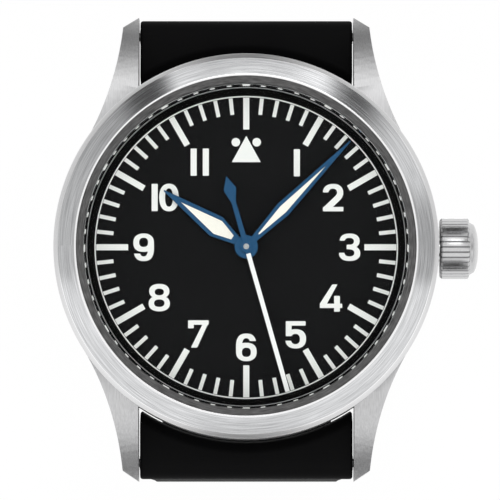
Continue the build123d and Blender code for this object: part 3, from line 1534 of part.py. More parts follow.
# Short half: hangs from its bar and carries the fixed keeper and the buckle
buckle_z = bar_z - short_length
half_thick = strap_thickness / 2
with BuildPart() as strap_short:
    with BuildSketch(Plane.YZ):
        with BuildLine():
            Polyline(
                (bar_y + strap_nose, bar_z),
                (bar_y + half_thick, bar_z - strap_thin_end),
                (bar_y + half_thick, buckle_z),
                (bar_y - half_thick, buckle_z),
                (bar_y - half_thick, bar_z - strap_thin_end),
                (bar_y - strap_nose, bar_z),
                close=True,
            )
        make_face()
        with Locations((bar_y, buckle_z)):
            Circle(half_thick)
    extrude(amount=strap_width / 2, both=True)
    add(front_cut(buckle_z - strap_thickness), mode=Mode.INTERSECT)
    add(fitted_end.part)
    with BuildSketch(Plane.YZ):
        with Locations((bar_y, bar_z)):
            Circle(bar_radius + running_fit)
        with Locations((bar_y, buckle_z)):
            Circle(buckle_bar_radius + running_fit)
    extrude(amount=strap_width, both=True, mode=Mode.SUBTRACT)
    with BuildSketch(Plane.XZ.offset(-bar_y)):
        with Locations((0, buckle_z + tang_slot_depth)):
            Rectangle(tang_width + 2 * tang_slot_gap, 2 * (tang_slot_depth + strap_thickness),
                      align=(Align.CENTER, Align.MAX))
    extrude(amount=strap_thickness, both=True, mode=Mode.SUBTRACT)
    with BuildSketch(Plane.XY.offset(buckle_z + keeper_rise)):
        with Locations((0, bar_y + half_thick)):
            Rectangle(strap_narrow + 2 * keeper_side_gap + 2 * keeper_wall, keeper_room + keeper_wall,
                      align=(Align.CENTER, Align.MIN))
            Rectangle(strap_narrow + 2 * keeper_side_gap, keeper_room,
                      align=(Align.CENTER, Align.MIN), mode=Mode.SUBTRACT)
        for side in (1, -1):
            with Locations((side * strap_narrow / 2, bar_y + half_thick)):
                Rectangle(2 * (keeper_side_gap + keeper_wall), strap_thickness,
                          align=(Align.CENTER, Align.MAX))
    extrude(amount=keeper_height)
strap_short.part.label = "strap_short"
export_step(strap_short.part, "parts/strap_short.step")

with BuildPart() as free_keeper:
    with BuildSketch(Plane.XY.offset(buckle_z + free_keeper_rise)):
        with Locations((0, bar_y - half_thick - keeper_side_gap)):
            Rectangle(strap_narrow + 2 * keeper_side_gap, strap_thickness + keeper_room + 2 * keeper_side_gap,
                      align=(Align.CENTER, Align.MIN))
        offset(amount=keeper_wall)
        with Locations((0, bar_y - half_thick - keeper_side_gap)):
            Rectangle(strap_narrow + 2 * keeper_side_gap, strap_thickness + keeper_room + 2 * keeper_side_gap,
                      align=(Align.CENTER, Align.MIN), mode=Mode.SUBTRACT)
    extrude(amount=keeper_height)
free_keeper.part.label = "free_keeper"
export_step(free_keeper.part, "parts/free_keeper.step")


# Long half: hangs from the other bar, bows in, and its holed end lies flat as a foot.
# It is drawn on the 12 o'clock side and mirrored to the 6 o'clock side.
with BuildPart() as long_blank:
    with BuildSketch(Plane.YZ) as long_side:
        with BuildLine():
            outer_ends = []
            for side in (1, -1):
                start = (bar_y + side * half_thick, bar_z - strap_thin_end)
                first = Line(start, (start[0], start[1] - long_drop))
                bow = JernArc(first @ 1, (0, -1), long_bow_radius + side * half_thick, -long_bow_angle)
                bend = JernArc(bow @ 1, bow % 1, long_bend_radius + side * half_thick, -(90 - long_bow_angle))
                foot = Line(bend @ 1, bend @ 1 + Vector(-foot_length, 0))
                Line((bar_y + side * strap_nose, bar_z), start)
                outer_ends.append(foot @ 1)
            Line(outer_ends[0], outer_ends[1])
            Line((bar_y + strap_nose, bar_z), (bar_y - strap_nose, bar_z))
        make_face()
    extrude(amount=strap_width / 2, both=True)
    foot_end = outer_ends[0].X
    foot_bottom = outer_ends[0].Y
    add(front_cut(foot_bottom - overrun), mode=Mode.INTERSECT)
    with BuildSketch(Plane.XY.offset(foot_bottom - overrun)):
        with Locations((0, foot_end)):
            Rectangle(strap_width + overrun, bar_y + strap_nose - foot_end, align=(Align.CENTER, Align.MIN))
            Rectangle(strap_width + overrun, foot_tip_radius, align=(Align.CENTER, Align.MIN),
                      mode=Mode.SUBTRACT)
        with Locations((0, foot_end + foot_tip_radius)):
            SlotCenterToCenter(strap_narrow - 2 * foot_tip_radius, 2 * foot_tip_radius)
    extrude(amount=nose_top - foot_bottom + 2 * overrun, mode=Mode.INTERSECT)
    add(fitted_end.part)
    with BuildSketch(Plane.YZ):
        with Locations((bar_y, bar_z)):
            Circle(bar_radius + running_fit)
    extrude(amount=strap_width, both=True, mode=Mode.SUBTRACT)
    with BuildSketch(Plane.XY.offset(foot_bottom)):
        for number in range(hole_count):
            with Locations((0, foot_end + hole_edge + number * hole_pitch)):
                Circle(hole_radius)
    extrude(amount=strap_thickness, mode=Mode.SUBTRACT)

with BuildPart() as strap_long:
    add(mirror(long_blank.part, about=Plane.XZ))
strap_long.part.label = "strap_long"
export_step(strap_long.part, "parts/strap_long.step")

# Buckle: frame and tang turn on a bar through the end of the short half
buckle_front = Plane(origin=(0, bar_y, buckle_z), x_dir=(1, 0, 0), z_dir=(0, 1, 0))
buckle_inner = strap_narrow / 2 + buckle_side_gap
buckle_outer = buckle_inner + buckle_side
buckle_end = buckle_reach + buckle_cross
with BuildPart() as buckle_frame:
    with BuildSketch(buckle_front.offset(-buckle_thickness / 2)):
        with Locations((0, -buckle_eye_radius)):
            RectangleRounded(2 * buckle_outer, buckle_end + buckle_eye_radius, buckle_corner,
                             align=(Align.CENTER, Align.MIN))
        with Locations((0, -2 * buckle_eye_radius)):
            Rectangle(2 * buckle_inner, buckle_reach + 2 * buckle_eye_radius,
                      align=(Align.CENTER, Align.MIN), mode=Mode.SUBTRACT)
    extrude(amount=buckle_thickness)
    chamfer(
        buckle_frame.faces().sort_by(Axis.Y)[-1].outer_wire().edges(),
        length=buckle_corner / 5,
    )
    for side in (1, -1):
        with BuildSketch(Plane.YZ.offset(side * (buckle_inner - overrun))):
            with Locations((bar_y, buckle_z)):
                Circle(bar_pin_radius + running_fit)
        extrude(amount=side * (overrun + buckle_pin_depth + running_fit), mode=Mode.SUBTRACT)
buckle_frame.part.label = "buckle_frame"
export_step(buckle_frame.part, "parts/buckle_frame.step")

with BuildPart() as buckle_bar:
    with BuildSketch(Plane.YZ):
        with Locations((bar_y, buckle_z)):
            Circle(buckle_bar_radius)
    extrude(amount=strap_narrow / 2, both=True)
    with BuildSketch(Plane.YZ):
        with Locations((bar_y, buckle_z)):
            Circle(bar_pin_radius)
    extrude(amount=buckle_inner + buckle_pin_depth, both=True)
buckle_bar.part.label = "buckle_bar"
export_step(buckle_bar.part, "parts/buckle_bar.step")

tang_face = buckle_thickness / 2 + running_fit
with BuildPart() as buckle_tang:
    with BuildSketch(Plane.YZ):
        with Locations((bar_y, buckle_z)):
            Circle(tang_eye_radius)
        with BuildLine():
            Polyline(
                (bar_y, buckle_z - tang_eye_radius / 2),
                (bar_y + tang_face, buckle_z - buckle_reach + tang_thickness),
                (bar_y + tang_face, buckle_z - buckle_end - tang_over / 2),
                (bar_y + tang_face + tang_thickness, buckle_z - buckle_end - tang_over / 2),
                (bar_y + tang_face + tang_thickness, buckle_z - buckle_reach + tang_thickness),
                (bar_y + tang_eye_radius, buckle_z),
                (bar_y, buckle_z),
                close=True,
            )
        make_face()
        with Locations((bar_y, buckle_z)):
            Circle(buckle_bar_radius + pivot_fit, mode=Mode.SUBTRACT)
    extrude(amount=tang_width / 2, both=True)
buckle_tang.part.label = "buckle_tang"
export_step(buckle_tang.part, "parts/buckle_tang.step")
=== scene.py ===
import json
from math import atan2, cos, hypot, pi, radians, sin

import bmesh
import bpy
import numpy as np
from mathutils import Matrix, Vector


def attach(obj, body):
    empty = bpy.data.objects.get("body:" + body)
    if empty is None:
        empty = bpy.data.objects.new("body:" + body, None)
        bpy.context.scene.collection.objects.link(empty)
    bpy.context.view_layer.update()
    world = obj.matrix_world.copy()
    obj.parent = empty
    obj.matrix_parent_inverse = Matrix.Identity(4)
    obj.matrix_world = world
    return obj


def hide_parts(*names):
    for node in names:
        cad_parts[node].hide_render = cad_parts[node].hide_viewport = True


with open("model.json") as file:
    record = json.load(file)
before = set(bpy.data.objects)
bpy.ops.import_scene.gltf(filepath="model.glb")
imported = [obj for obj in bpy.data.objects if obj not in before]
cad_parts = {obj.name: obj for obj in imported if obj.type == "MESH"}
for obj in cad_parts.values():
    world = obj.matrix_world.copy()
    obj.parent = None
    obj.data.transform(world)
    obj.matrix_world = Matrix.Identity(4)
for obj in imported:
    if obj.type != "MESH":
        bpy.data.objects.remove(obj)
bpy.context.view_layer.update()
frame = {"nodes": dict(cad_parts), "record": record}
MM = 0.001
NODES = frame["nodes"]

# Radii, heights and the crown's place in millimetres, as the CAD has them
CASE_RADIUS = 18.0
CROWN_FACE = 18.15
BAR_Z = 1.9
STEM_Z = 3.65
DIAL_TOP = 5.9
BAND_TOP = 6.6
RING_TOP = 7.2
CRYSTAL_BACK = 7.798
BEZEL_TOP = 9.178

# Softened edges in millimetres
CASE_EDGE = 0.09
BACK_EDGE = 0.08
HAND_EDGE = 0.03
STRAP_EDGE = 0.25
BUCKLE_EDGE = 0.12

# Materials
NOISE_LOW, NOISE_HIGH = 0.25, 0.75
NOISE_ROUGHNESS = 0.6
SMOOTHEST = 0.02
BROAD_CENTRE = (7, 3, 1)
BROAD_DETAIL = 2.0


def new_material(name):
    """An empty node material: its tree, output and Principled shader."""
    material = bpy.data.materials.new(name)
    material.use_nodes = True
    tree = material.node_tree
    tree.nodes.clear()
    output = tree.nodes.new("ShaderNodeOutputMaterial")
    shader = tree.nodes.new("ShaderNodeBsdfPrincipled")
    tree.links.new(shader.outputs[0], output.inputs[0])
    return material, tree, output, shader


def feed(tree, socket, value):
    """Gives an input a number or a colour, or links another node's output to it."""
    if isinstance(value, (int, float, tuple)):
        socket.default_value = value
    else:
        tree.links.new(value, socket)


def math_node(tree, operation, *values):
    """A Math node fed by sockets or numbers."""
    node = tree.nodes.new("ShaderNodeMath")
    node.operation = operation
    for socket, value in zip(node.inputs, values):
        feed(tree, socket, value)
    return node.outputs[0]


def combine(tree, x, y, z):
    """A vector from three sockets."""
    node = tree.nodes.new("ShaderNodeCombineXYZ")
    for socket, value in zip(node.inputs, (x, y, z)):
        tree.links.new(value, socket)
    return node.outputs[0]


def position(tree, centre):
    """Object coordinates in millimetres from a centre, as separate sockets."""
    coordinates = tree.nodes.new("ShaderNodeTexCoord")
    shift = tree.nodes.new("ShaderNodeVectorMath")
    shift.operation = "SUBTRACT"
    tree.links.new(coordinates.outputs["Object"], shift.inputs[0])
    shift.inputs[1].default_value = [value * MM for value in centre]
    scale = tree.nodes.new("ShaderNodeVectorMath")
    scale.operation = "SCALE"
    tree.links.new(shift.outputs[0], scale.inputs[0])
    scale.inputs["Scale"].default_value = 1 / MM
    parts = tree.nodes.new("ShaderNodeSeparateXYZ")
    tree.links.new(scale.outputs[0], parts.inputs[0])
    return parts.outputs[0], parts.outputs[1], parts.outputs[2]


def noise(tree, vector, scale, detail=3.0):
    """A noise texture's value on a vector."""
    node = tree.nodes.new("ShaderNodeTexNoise")
    node.inputs["Scale"].default_value = scale
    node.inputs["Detail"].default_value = detail
    node.inputs["Roughness"].default_value = NOISE_ROUGHNESS
    tree.links.new(vector, node.inputs["Vector"])
    return node.outputs[0]


def spread(tree, value, low, high):
    """The usual range of a noise value mapped to another range."""
    node = tree.nodes.new("ShaderNodeMapRange")
    node.inputs["From Min"].default_value = NOISE_LOW
    node.inputs["From Max"].default_value = NOISE_HIGH
    node.inputs["To Min"].default_value = low
    node.inputs["To Max"].default_value = high
    tree.links.new(value, node.inputs["Value"])
    return node.outputs[0]


def round_axis(tree, a, b, stretch):
    """Distance from an axis and the stretched turn round it, from the two coordinates across the axis."""
    radius = math_node(tree, "SQRT", math_node(tree, "ADD", math_node(tree, "MULTIPLY", a, a),
                                               math_node(tree, "MULTIPLY", b, b)))
    turn = math_node(tree, "ARCTAN2", b, a)
    return radius, math_node(tree, "MULTIPLY", turn, stretch)


def grain_vector(tree, kind, centre, stretch):
    """Coordinates that turn plain noise into brushing lines, rings or a plain grain."""
    x, y, z = position(tree, centre)
    if kind == "ring":
        return combine(tree, *round_axis(tree, x, y, stretch), z)
    if kind == "ring_x":
        return combine(tree, *round_axis(tree, y, z, stretch), x)
    if kind == "along_x":
        return combine(tree, math_node(tree, "MULTIPLY", x, stretch), y, z)
    if kind == "along_y":
        return combine(tree, x, math_node(tree, "MULTIPLY", y, stretch), z)
    if kind == "along_z":
        return combine(tree, x, y, math_node(tree, "MULTIPLY", z, stretch))
    return combine(tree, x, y, z)


def finish(name, colour, rough, metallic=0.0, kind="plain", centre=(0, 0, 0), stretch=0.05, scale=8.0,
           shade=0.1, rough_spread=0.06, bump=0.0, specular=0.5, blotch=0.0, blotch_scale=0.25, ring_axis="",
           **sockets):
    """A procedural finish: colour, roughness and a little relief from one grain, with broad variation."""
    material, tree, _, shader = new_material(name)
    grain = noise(tree, grain_vector(tree, kind, centre, stretch), scale)
    broad = noise(tree, grain_vector(tree, "plain", BROAD_CENTRE, 1), blotch_scale, BROAD_DETAIL)
    factor = math_node(tree, "MULTIPLY", spread(tree, grain, 1 - shade, 1 + shade),
                       spread(tree, broad, 1 - blotch, 1 + blotch))
    tint = tree.nodes.new("ShaderNodeVectorMath")
    tint.operation = "SCALE"
    tint.inputs[0].default_value = colour
    tree.links.new(factor, tint.inputs["Scale"])
    tree.links.new(tint.outputs[0], shader.inputs["Base Color"])
    tree.links.new(spread(tree, grain, max(rough - rough_spread, SMOOTHEST), rough + rough_spread),
                   shader.inputs["Roughness"])
    shader.inputs["Metallic"].default_value = metallic
    shader.inputs["Specular IOR Level"].default_value = specular
    if bump:
        relief = tree.nodes.new("ShaderNodeBump")
        relief.inputs["Strength"].default_value = 1.0
        relief.inputs["Distance"].default_value = bump * MM
        tree.links.new(grain, relief.inputs["Height"])
        tree.links.new(relief.outputs[0], shader.inputs["Normal"])
    if ring_axis:
        tangent = tree.nodes.new("ShaderNodeTangent")
        tangent.direction_type = "RADIAL"
        tangent.axis = ring_axis
        tree.links.new(tangent.outputs[0], shader.inputs["Tangent"])
    for socket, value in sockets.items():
        shader.inputs[socket.replace("_", " ")].default_value = value
    return material


STEEL = (0.64, 0.645, 0.655)
brushed_ring = finish("brushed_bezel", STEEL, rough=0.19, metallic=1.0, kind="ring", stretch=0.3, scale=13.0,
                      shade=0.34, rough_spread=0.03, bump=0.0006, blotch=0.03, ring_axis="Z", Anisotropic=1.0,
                      Anisotropic_Rotation=0.25)
brushed_side = finish("brushed_band", STEEL, rough=0.32, metallic=1.0, kind="along_z", stretch=6.0, scale=6.0,
                      shade=0.07, rough_spread=0.05, bump=0.003, blotch=0.04)
brushed_lug = finish("brushed_lugs", (0.58, 0.58, 0.585), rough=0.38, metallic=1.0, kind="along_y",
                     scale=11.0, shade=0.16, rough_spread=0.05, bump=0.004, blotch=0.05)
polished = finish("polished_steel", (0.9, 0.9, 0.905), rough=0.1, metallic=1.0, shade=0.02, rough_spread=0.03,
                  scale=3.0)
edge_steel = finish("edge_steel", (0.7, 0.7, 0.705), rough=0.22, metallic=1.0, shade=0.03, rough_spread=0.04,
                    scale=3.0)
bevel_steel = finish("bevel_steel", (0.82, 0.82, 0.825), rough=0.34, metallic=1.0, kind="ring", stretch=0.4,
                     shade=0.06)
pipe_steel = finish("pipe_steel", (0.5, 0.51, 0.52), rough=0.3, metallic=1.0, shade=0.05, scale=6.0)
crown_steel = finish("crown_steel", (0.6, 0.6, 0.605), rough=0.22, metallic=1.0, kind="ring_x",
                     centre=(0, 0, STEM_Z), stretch=1.0, shade=0.05, rough_spread=0.05, bump=0.002)
gasket_grey = finish("gasket_nylon", (0.07, 0.069, 0.069), rough=0.5, kind="ring", stretch=0.9, scale=15.0,
                     shade=0.95, rough_spread=0.15, bump=0.01, specular=0.3, blotch=0.2, blotch_scale=1.2)
ring_black = finish("ring_black", (0.003, 0.003, 0.003), rough=0.7, scale=12.0, specular=0.02)
dial_black = finish("dial_black", (0.0078, 0.0078, 0.0082), rough=0.75, shade=0.12, scale=14.0, bump=0.002,
                    specular=0.02, blotch=0.06)
lume_white = finish("lume_white", (0.84, 0.84, 0.815), rough=0.75, shade=0.03, scale=9.0, bump=0.004,
                    specular=0.15)
hand_lume = finish("hand_lume", (0.88, 0.85, 0.77), rough=0.8, shade=0.05, scale=7.0, bump=0.008,
                   specular=0.15)
blued = finish("blued_steel", (0.028, 0.095, 0.2), rough=0.36, metallic=1.0, kind="along_y", stretch=0.4,
               scale=6.0, shade=0.08, rough_spread=0.05, bump=0.001)
white_paint = finish("seconds_white", (0.84, 0.84, 0.83), rough=0.5, shade=0.02, specular=0.2)
plate_metal = finish("plate_metal", (0.66, 0.63, 0.56), rough=0.3, metallic=1.0, kind="along_x", stretch=0.1,
                     scale=7.0, shade=0.08, bump=0.004)
holder_metal = finish("holder_metal", (0.6, 0.58, 0.53), rough=0.35, metallic=1.0, kind="ring", stretch=1.0,
                      shade=0.08, bump=0.004)
gilt = finish("gilt_brass", (0.75, 0.56, 0.27), rough=0.3, metallic=1.0, kind="ring", stretch=1.0, scale=9.0,
              bump=0.003)
hard_steel = finish("hard_steel", (0.62, 0.62, 0.63), rough=0.2, metallic=1.0, shade=0.05, scale=7.0)
ruby = finish("ruby", (0.42, 0.02, 0.06), rough=0.12, scale=3.0)
blued_screw = finish("blued_screw", (0.03, 0.08, 0.28), rough=0.2, metallic=1.0, shade=0.08, scale=4.0)
bar_steel = finish("bar_steel", (0.22, 0.22, 0.225), rough=0.4, metallic=1.0, kind="along_x", stretch=0.2,
                   shade=0.08)
spring_steel = finish("spring_steel", (0.5, 0.52, 0.56), rough=0.28, metallic=1.0, shade=0.05, scale=6.0)
seal_rubber = finish("seal_rubber", (0.02, 0.02, 0.02), rough=0.6, scale=6.0, specular=0.3)
strap_rubber = finish("strap_rubber", (0.0032, 0.0032, 0.0034), rough=0.6, rough_spread=0.05, scale=16.0,
                      bump=0.003, specular=0.04, blotch=0.08)

GLASS_TINT = (0.985, 0.992, 0.99, 1)
GLASS_IOR = 1.5
GLASS_ROUGH = (0.01, 0.03)
GLASS_WAVES = 0.2


def glass(name, shine):
    """Clear coated glass: what lies behind it, with a share of a mirror's reflection over it."""
    material, tree, output, shader = new_material(name)
    tree.nodes.remove(shader)
    clear = tree.nodes.new("ShaderNodeBsdfTransparent")
    clear.inputs[0].default_value = GLASS_TINT
    gloss = tree.nodes.new("ShaderNodeBsdfGlossy")
    waves = noise(tree, grain_vector(tree, "plain", (0, 0, 0), 1), GLASS_WAVES)
    tree.links.new(spread(tree, waves, *GLASS_ROUGH), gloss.inputs["Roughness"])
    edge = tree.nodes.new("ShaderNodeFresnel")
    edge.inputs[0].default_value = GLASS_IOR
    blend = tree.nodes.new("ShaderNodeMixShader")
    tree.links.new(math_node(tree, "MULTIPLY", edge.outputs[0], shine), blend.inputs[0])
    tree.links.new(clear.outputs[0], blend.inputs[1])
    tree.links.new(gloss.outputs[0], blend.inputs[2])
    tree.links.new(blend.outputs[0], output.inputs[0])
    return material


crystal_glass = glass("crystal_glass", shine=0.03)
back_glass = glass("back_crystal_glass", shine=0.5)

SLOT_FINISH = {
    "brushed_steel": brushed_side, "polished_steel": polished, "crystal_glass": back_glass,
    "gasket_nylon": gasket_grey, "ring_black": ring_black, "dial_black": dial_black,
    "lume_white": lume_white, "hand_lume": hand_lume, "blued_steel": blued, "seconds_paint": blued,
    "plate_metal": plate_metal, "holder_metal": holder_metal, "gilt_brass": gilt, "hard_steel": hard_steel,
    "ruby": ruby, "blued_screw": blued_screw, "spring_steel": spring_steel, "seal_rubber": seal_rubber,
    "strap_rubber": strap_rubber,
}
for subpart in frame["record"]["subparts"]:
    node = NODES[subpart["node"]]
    node.data.materials.clear()
    node.data.materials.append(SLOT_FINISH[subpart["material_slot"]])
NODES["crystal"].data.materials[0] = crystal_glass
for name in NODES:
    if name.startswith(("spring_bar", "bar_tip")):
        NODES[name].data.materials[0] = bar_steel


# Mesh helpers
MERGE = 1e-7
CAD_MERGE = 2e-6
CORNER_STEPS = 3
CORNER_SHARE = 0.35
ROUND = 288


def cleaned(mesh, source=None, merge=0.0, dissolve=0.0):
    """Joins doubled vertices, dissolves nearly flat edges and turns the faces outwards, where asked."""
    work = bmesh.new()
    work.from_mesh(source or mesh)
    if merge:
        bmesh.ops.remove_doubles(work, verts=work.verts, dist=merge)
    if dissolve:
        bmesh.ops.dissolve_limit(work, angle_limit=radians(dissolve), verts=work.verts, edges=work.edges)
    bmesh.ops.recalc_face_normals(work, faces=work.faces)
    work.to_mesh(mesh)
    work.free()


def shown(name, mesh, materials, body, replaced=(), angle=35):
    """Makes an object from a mesh, smooth but for its sharp edges, and ties it to the frame."""
    mesh.validate()
    for polygon in mesh.polygons:
        polygon.use_smooth = True
    mesh.set_sharp_from_angle(angle=radians(angle))
    piece = bpy.data.objects.new(name, mesh)
    bpy.context.scene.collection.objects.link(piece)
    for material in materials:
        mesh.materials.append(material)
    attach(piece, body)
    if replaced:
        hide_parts(*replaced)
    return piece


def rounded(section, radius):
    """A closed section with short arcs for corners: its points, and for each the edge that starts there."""
    points, edges = [], []
    count = len(section)
    for index, corner in enumerate(section):
        before, after = Vector(section[index - 1]), Vector(section[(index + 1) % count])
        corner = Vector(corner)
        to_before, to_after = before - corner, after - corner
        reach = min(radius, CORNER_SHARE * to_before.length, CORNER_SHARE * to_after.length)
        start, end = corner + to_before.normalized() * reach, corner + to_after.normalized() * reach
        for step in range(CORNER_STEPS + 1):
            share = step / CORNER_STEPS
            point = start.lerp(corner, share).lerp(corner.lerp(end, share), share)
            points.append((point.x, point.y))
            edges.append(index if step == CORNER_STEPS else -1)
    return points, edges


def lathe(name, section, materials, body, replaced=(), segments=ROUND, radius=0.03, zones=None):
    """A ring turned from a closed section of (radius, height) corners. zones gives an edge its material."""
    points, edges = rounded(section, radius)
    count = len(points)
    vertices = []
    for number in range(segments):
        angle = 2 * pi * number / segments
        for r, h in points:
            vertices.append((r * cos(angle) * MM, r * sin(angle) * MM, h * MM))
    faces = []
    for number in range(segments):
        following = (number + 1) % segments
        for place in range(count):
            after = (place + 1) % count
            faces.append((number * count + place, following * count + place,
                          following * count + after, number * count + after))
    mesh = bpy.data.meshes.new(name)
    mesh.from_pydata(vertices, [], faces)
    cleaned(mesh, merge=MERGE)
    piece = shown(name, mesh, materials, body, replaced)
    if zones:
        mesh.polygons.foreach_set("material_index", [zones.get(edge, 0) for edge in edges] * segments)
    return piece


def softened(name, node, width, materials, body, segments=3, edge_material=-1, angle=30, dissolve=1.0,
             clamp=True):
    """A copy of a CAD node's shape with small rounded edges, which stands for the node."""
    mesh = bpy.data.meshes.new(name)
    cleaned(mesh, NODES[node].data, merge=CAD_MERGE, dissolve=dissolve)
    piece = shown(name, mesh, materials, body, (node,), angle=angle)
    bevel = piece.modifiers.new("edges", "BEVEL")
    bevel.width = width * MM
    bevel.segments = segments
    bevel.limit_method = "ANGLE"
    bevel.angle_limit = radians(angle)
    bevel.harden_normals = False
    bevel.material = edge_material
    bevel.use_clamp_overlap = clamp
    return piece


# Bezel, from the foot of its throat outwards, up the wall, in over bevel and slope, and down to the crystal's
# seat. Wall, bevel and slope are known by the corner that each starts at
THROAT = 14.93
THROAT_FOOT = 7.0
SPIGOT = 16.02
WALL, BEVEL, SLOPE = 3, 4, 5
lathe("bezel_turned", [
    (THROAT, THROAT_FOOT), (SPIGOT, THROAT_FOOT), (SPIGOT, BAND_TOP), (CASE_RADIUS, BAND_TOP),
    (CASE_RADIUS, 8.328), (17.6, 8.578), (16.03, BEZEL_TOP), (15.86, BEZEL_TOP), (15.84, CRYSTAL_BACK),
    (15.18, CRYSTAL_BACK), (THROAT, 7.198),
], [polished, brushed_ring, bevel_steel, brushed_side], "head", ("bezel",),
    zones={SLOPE: 1, BEVEL: 2, WALL: 3})

# Case middle, dial ring and case back
softened("case_softened", "case_middle", CASE_EDGE, [brushed_lug, edge_steel], "head",
         edge_material=1, angle=28, dissolve=0.3)
RING_FOOT = DIAL_TOP + 0.01
lathe("dial_ring_turned", [(14.27, RING_FOOT), (14.83, RING_FOOT), (14.83, RING_TOP), (14.74, RING_TOP)],
      [ring_black], "head", ("dial_ring",))
softened("case_back_softened", "case_back", BACK_EDGE, [brushed_side], "head", segments=2)

# Crown, turned round the stem from (radius, x) corners, with flutes on its flank and a recess for the tube
FLUTES = 36
PER_FLUTE = 12
CROWN_RING = FLUTES * PER_FLUTE
FLUTE_DEPTH = 0.2
FLUTE_FOOT = 2.42
FLUTE_RISE = 0.12
FLUTE_END = 20.91
VALLEY_START = 0.5
CAP_TOP = 21.76
RECESS_RADIUS = 1.2
RECESS_END = CROWN_FACE + 1.3
CLOSED = 0.02
crown_profile = [
    (RECESS_RADIUS, CROWN_FACE), (FLUTE_FOOT, CROWN_FACE), (2.6, CROWN_FACE + 0.01),
    (2.68, CROWN_FACE + 0.04), (2.84, CROWN_FACE + 0.2), (2.85, CROWN_FACE + 0.24), (2.85, 20.72),
    (2.82, 20.82), (2.68, 20.9), (2.5, 20.92), (2.46, 20.95), (2.25, 21.36), (2.0, 21.49), (1.77, 21.58),
    (1.2, 21.71), (0.6, 21.75), (0.0, CAP_TOP),
]


def crown_ring(x, radius, depth=0.0):
    """One ring of vertices round the stem, cut by the flutes to a depth."""
    ring = []
    for step in range(CROWN_RING):
        phase = (step % PER_FLUTE) / PER_FLUTE
        valley = max(0, cos(2 * pi * phase) - VALLEY_START) / (1 - VALLEY_START)
        reach = radius - depth * valley
        angle = 2 * pi * step / CROWN_RING
        ring.append((x * MM, reach * cos(angle) * MM, (STEM_Z + reach * sin(angle)) * MM))
    return ring


def crown_band(low, high):
    """Faces between two rings of the crown, counted from its first vertex."""
    low, high = low * CROWN_RING, high * CROWN_RING
    return [(low + step, low + (step + 1) % CROWN_RING, high + (step + 1) % CROWN_RING, high + step)
            for step in range(CROWN_RING)]


crown_points = []
for (r0, x0), (r1, x1) in zip(crown_profile, crown_profile[1:]):
    for share in (0, 0.5):
        crown_points.append((r0 + (r1 - r0) * share, x0 + (x1 - x0) * share))
crown_points.append((CLOSED, CAP_TOP))
vertices, faces = [], []
for r, x in crown_points:
    depth = FLUTE_DEPTH * min(1, max(0, (r - FLUTE_FOOT) / FLUTE_RISE)) if x < FLUTE_END else 0
    vertices += crown_ring(x, r, depth)
cap = len(crown_points) - 1
for row in range(cap):
    faces += crown_band(row, row + 1)
faces.append([cap * CROWN_RING + step for step in range(CROWN_RING)])
vertices += crown_ring(RECESS_END, RECESS_RADIUS) + crown_ring(RECESS_END, CLOSED)
faces += crown_band(cap + 1, 0) + crown_band(cap + 2, cap + 1)
faces.append([(cap + 2) * CROWN_RING + step for step in range(CROWN_RING)][::-1])
crown_mesh = bpy.data.meshes.new("crown_fluted")
crown_mesh.from_pydata(vertices, [], faces)
cleaned(crown_mesh)
shown("crown_fluted", crown_mesh, [crown_steel], "crown_stem", ("crown",), angle=40)

# Numerals: outlines where the value of a shape's function is zero, with the value below zero inside
FAR = 1e9


def ellipse(cx, cy, rx, ry, power=2.3):
    """A squarish ellipse: the power 2 would be a true one."""
    def value(x, y):
        size = (np.abs((x - cx) / rx) ** power + np.abs((y - cy) / ry) ** power) ** (1 / power)
        return (size - 1) * min(rx, ry)
    return value


def box(x0, y0, x1, y1):
    """A rectangle from its lower left to its upper right corner."""
    return lambda x, y: np.maximum(np.maximum(x0 - x, x - x1), np.maximum(y0 - y, y - y1))


def polygon(*corners):
    """Signed distance to a polygon's outline, negative inside."""
    def value(x, y):
        distance = np.full(x.shape, FAR)
        inside = np.zeros(x.shape, bool)
        for (ax, ay), (bx, by) in zip(corners, corners[1:] + corners[:1]):
            dx, dy = bx - ax, by - ay
            along = np.clip(((x - ax) * dx + (y - ay) * dy) / (dx * dx + dy * dy), 0, 1)
            distance = np.minimum(distance, np.hypot(x - ax - along * dx, y - ay - along * dy))
            crosses = (ay > y) != (by > y)
            with np.errstate(divide="ignore", invalid="ignore"):
                edge_x = ax + (y - ay) * dx / dy if dy else np.full(x.shape, FAR)
            inside ^= crosses & (x < edge_x)
        return np.where(inside, -distance, distance)
    return value


def union(*shapes):
    """What lies in any of the shapes."""
    return lambda x, y: np.minimum.reduce([shape(x, y) for shape in shapes])


def less(shape, *cuts):
    """What lies in the shape and in none of the cuts."""
    return lambda x, y: np.maximum.reduce([shape(x, y)] + [-cut(x, y) for cut in cuts])


def turned_round(shape):
    """The shape after half a turn."""
    return lambda x, y: shape(-x, -y)


def moved(shape, dx):
    """The shape moved to the right."""
    return lambda x, y: shape(x - dx, y)


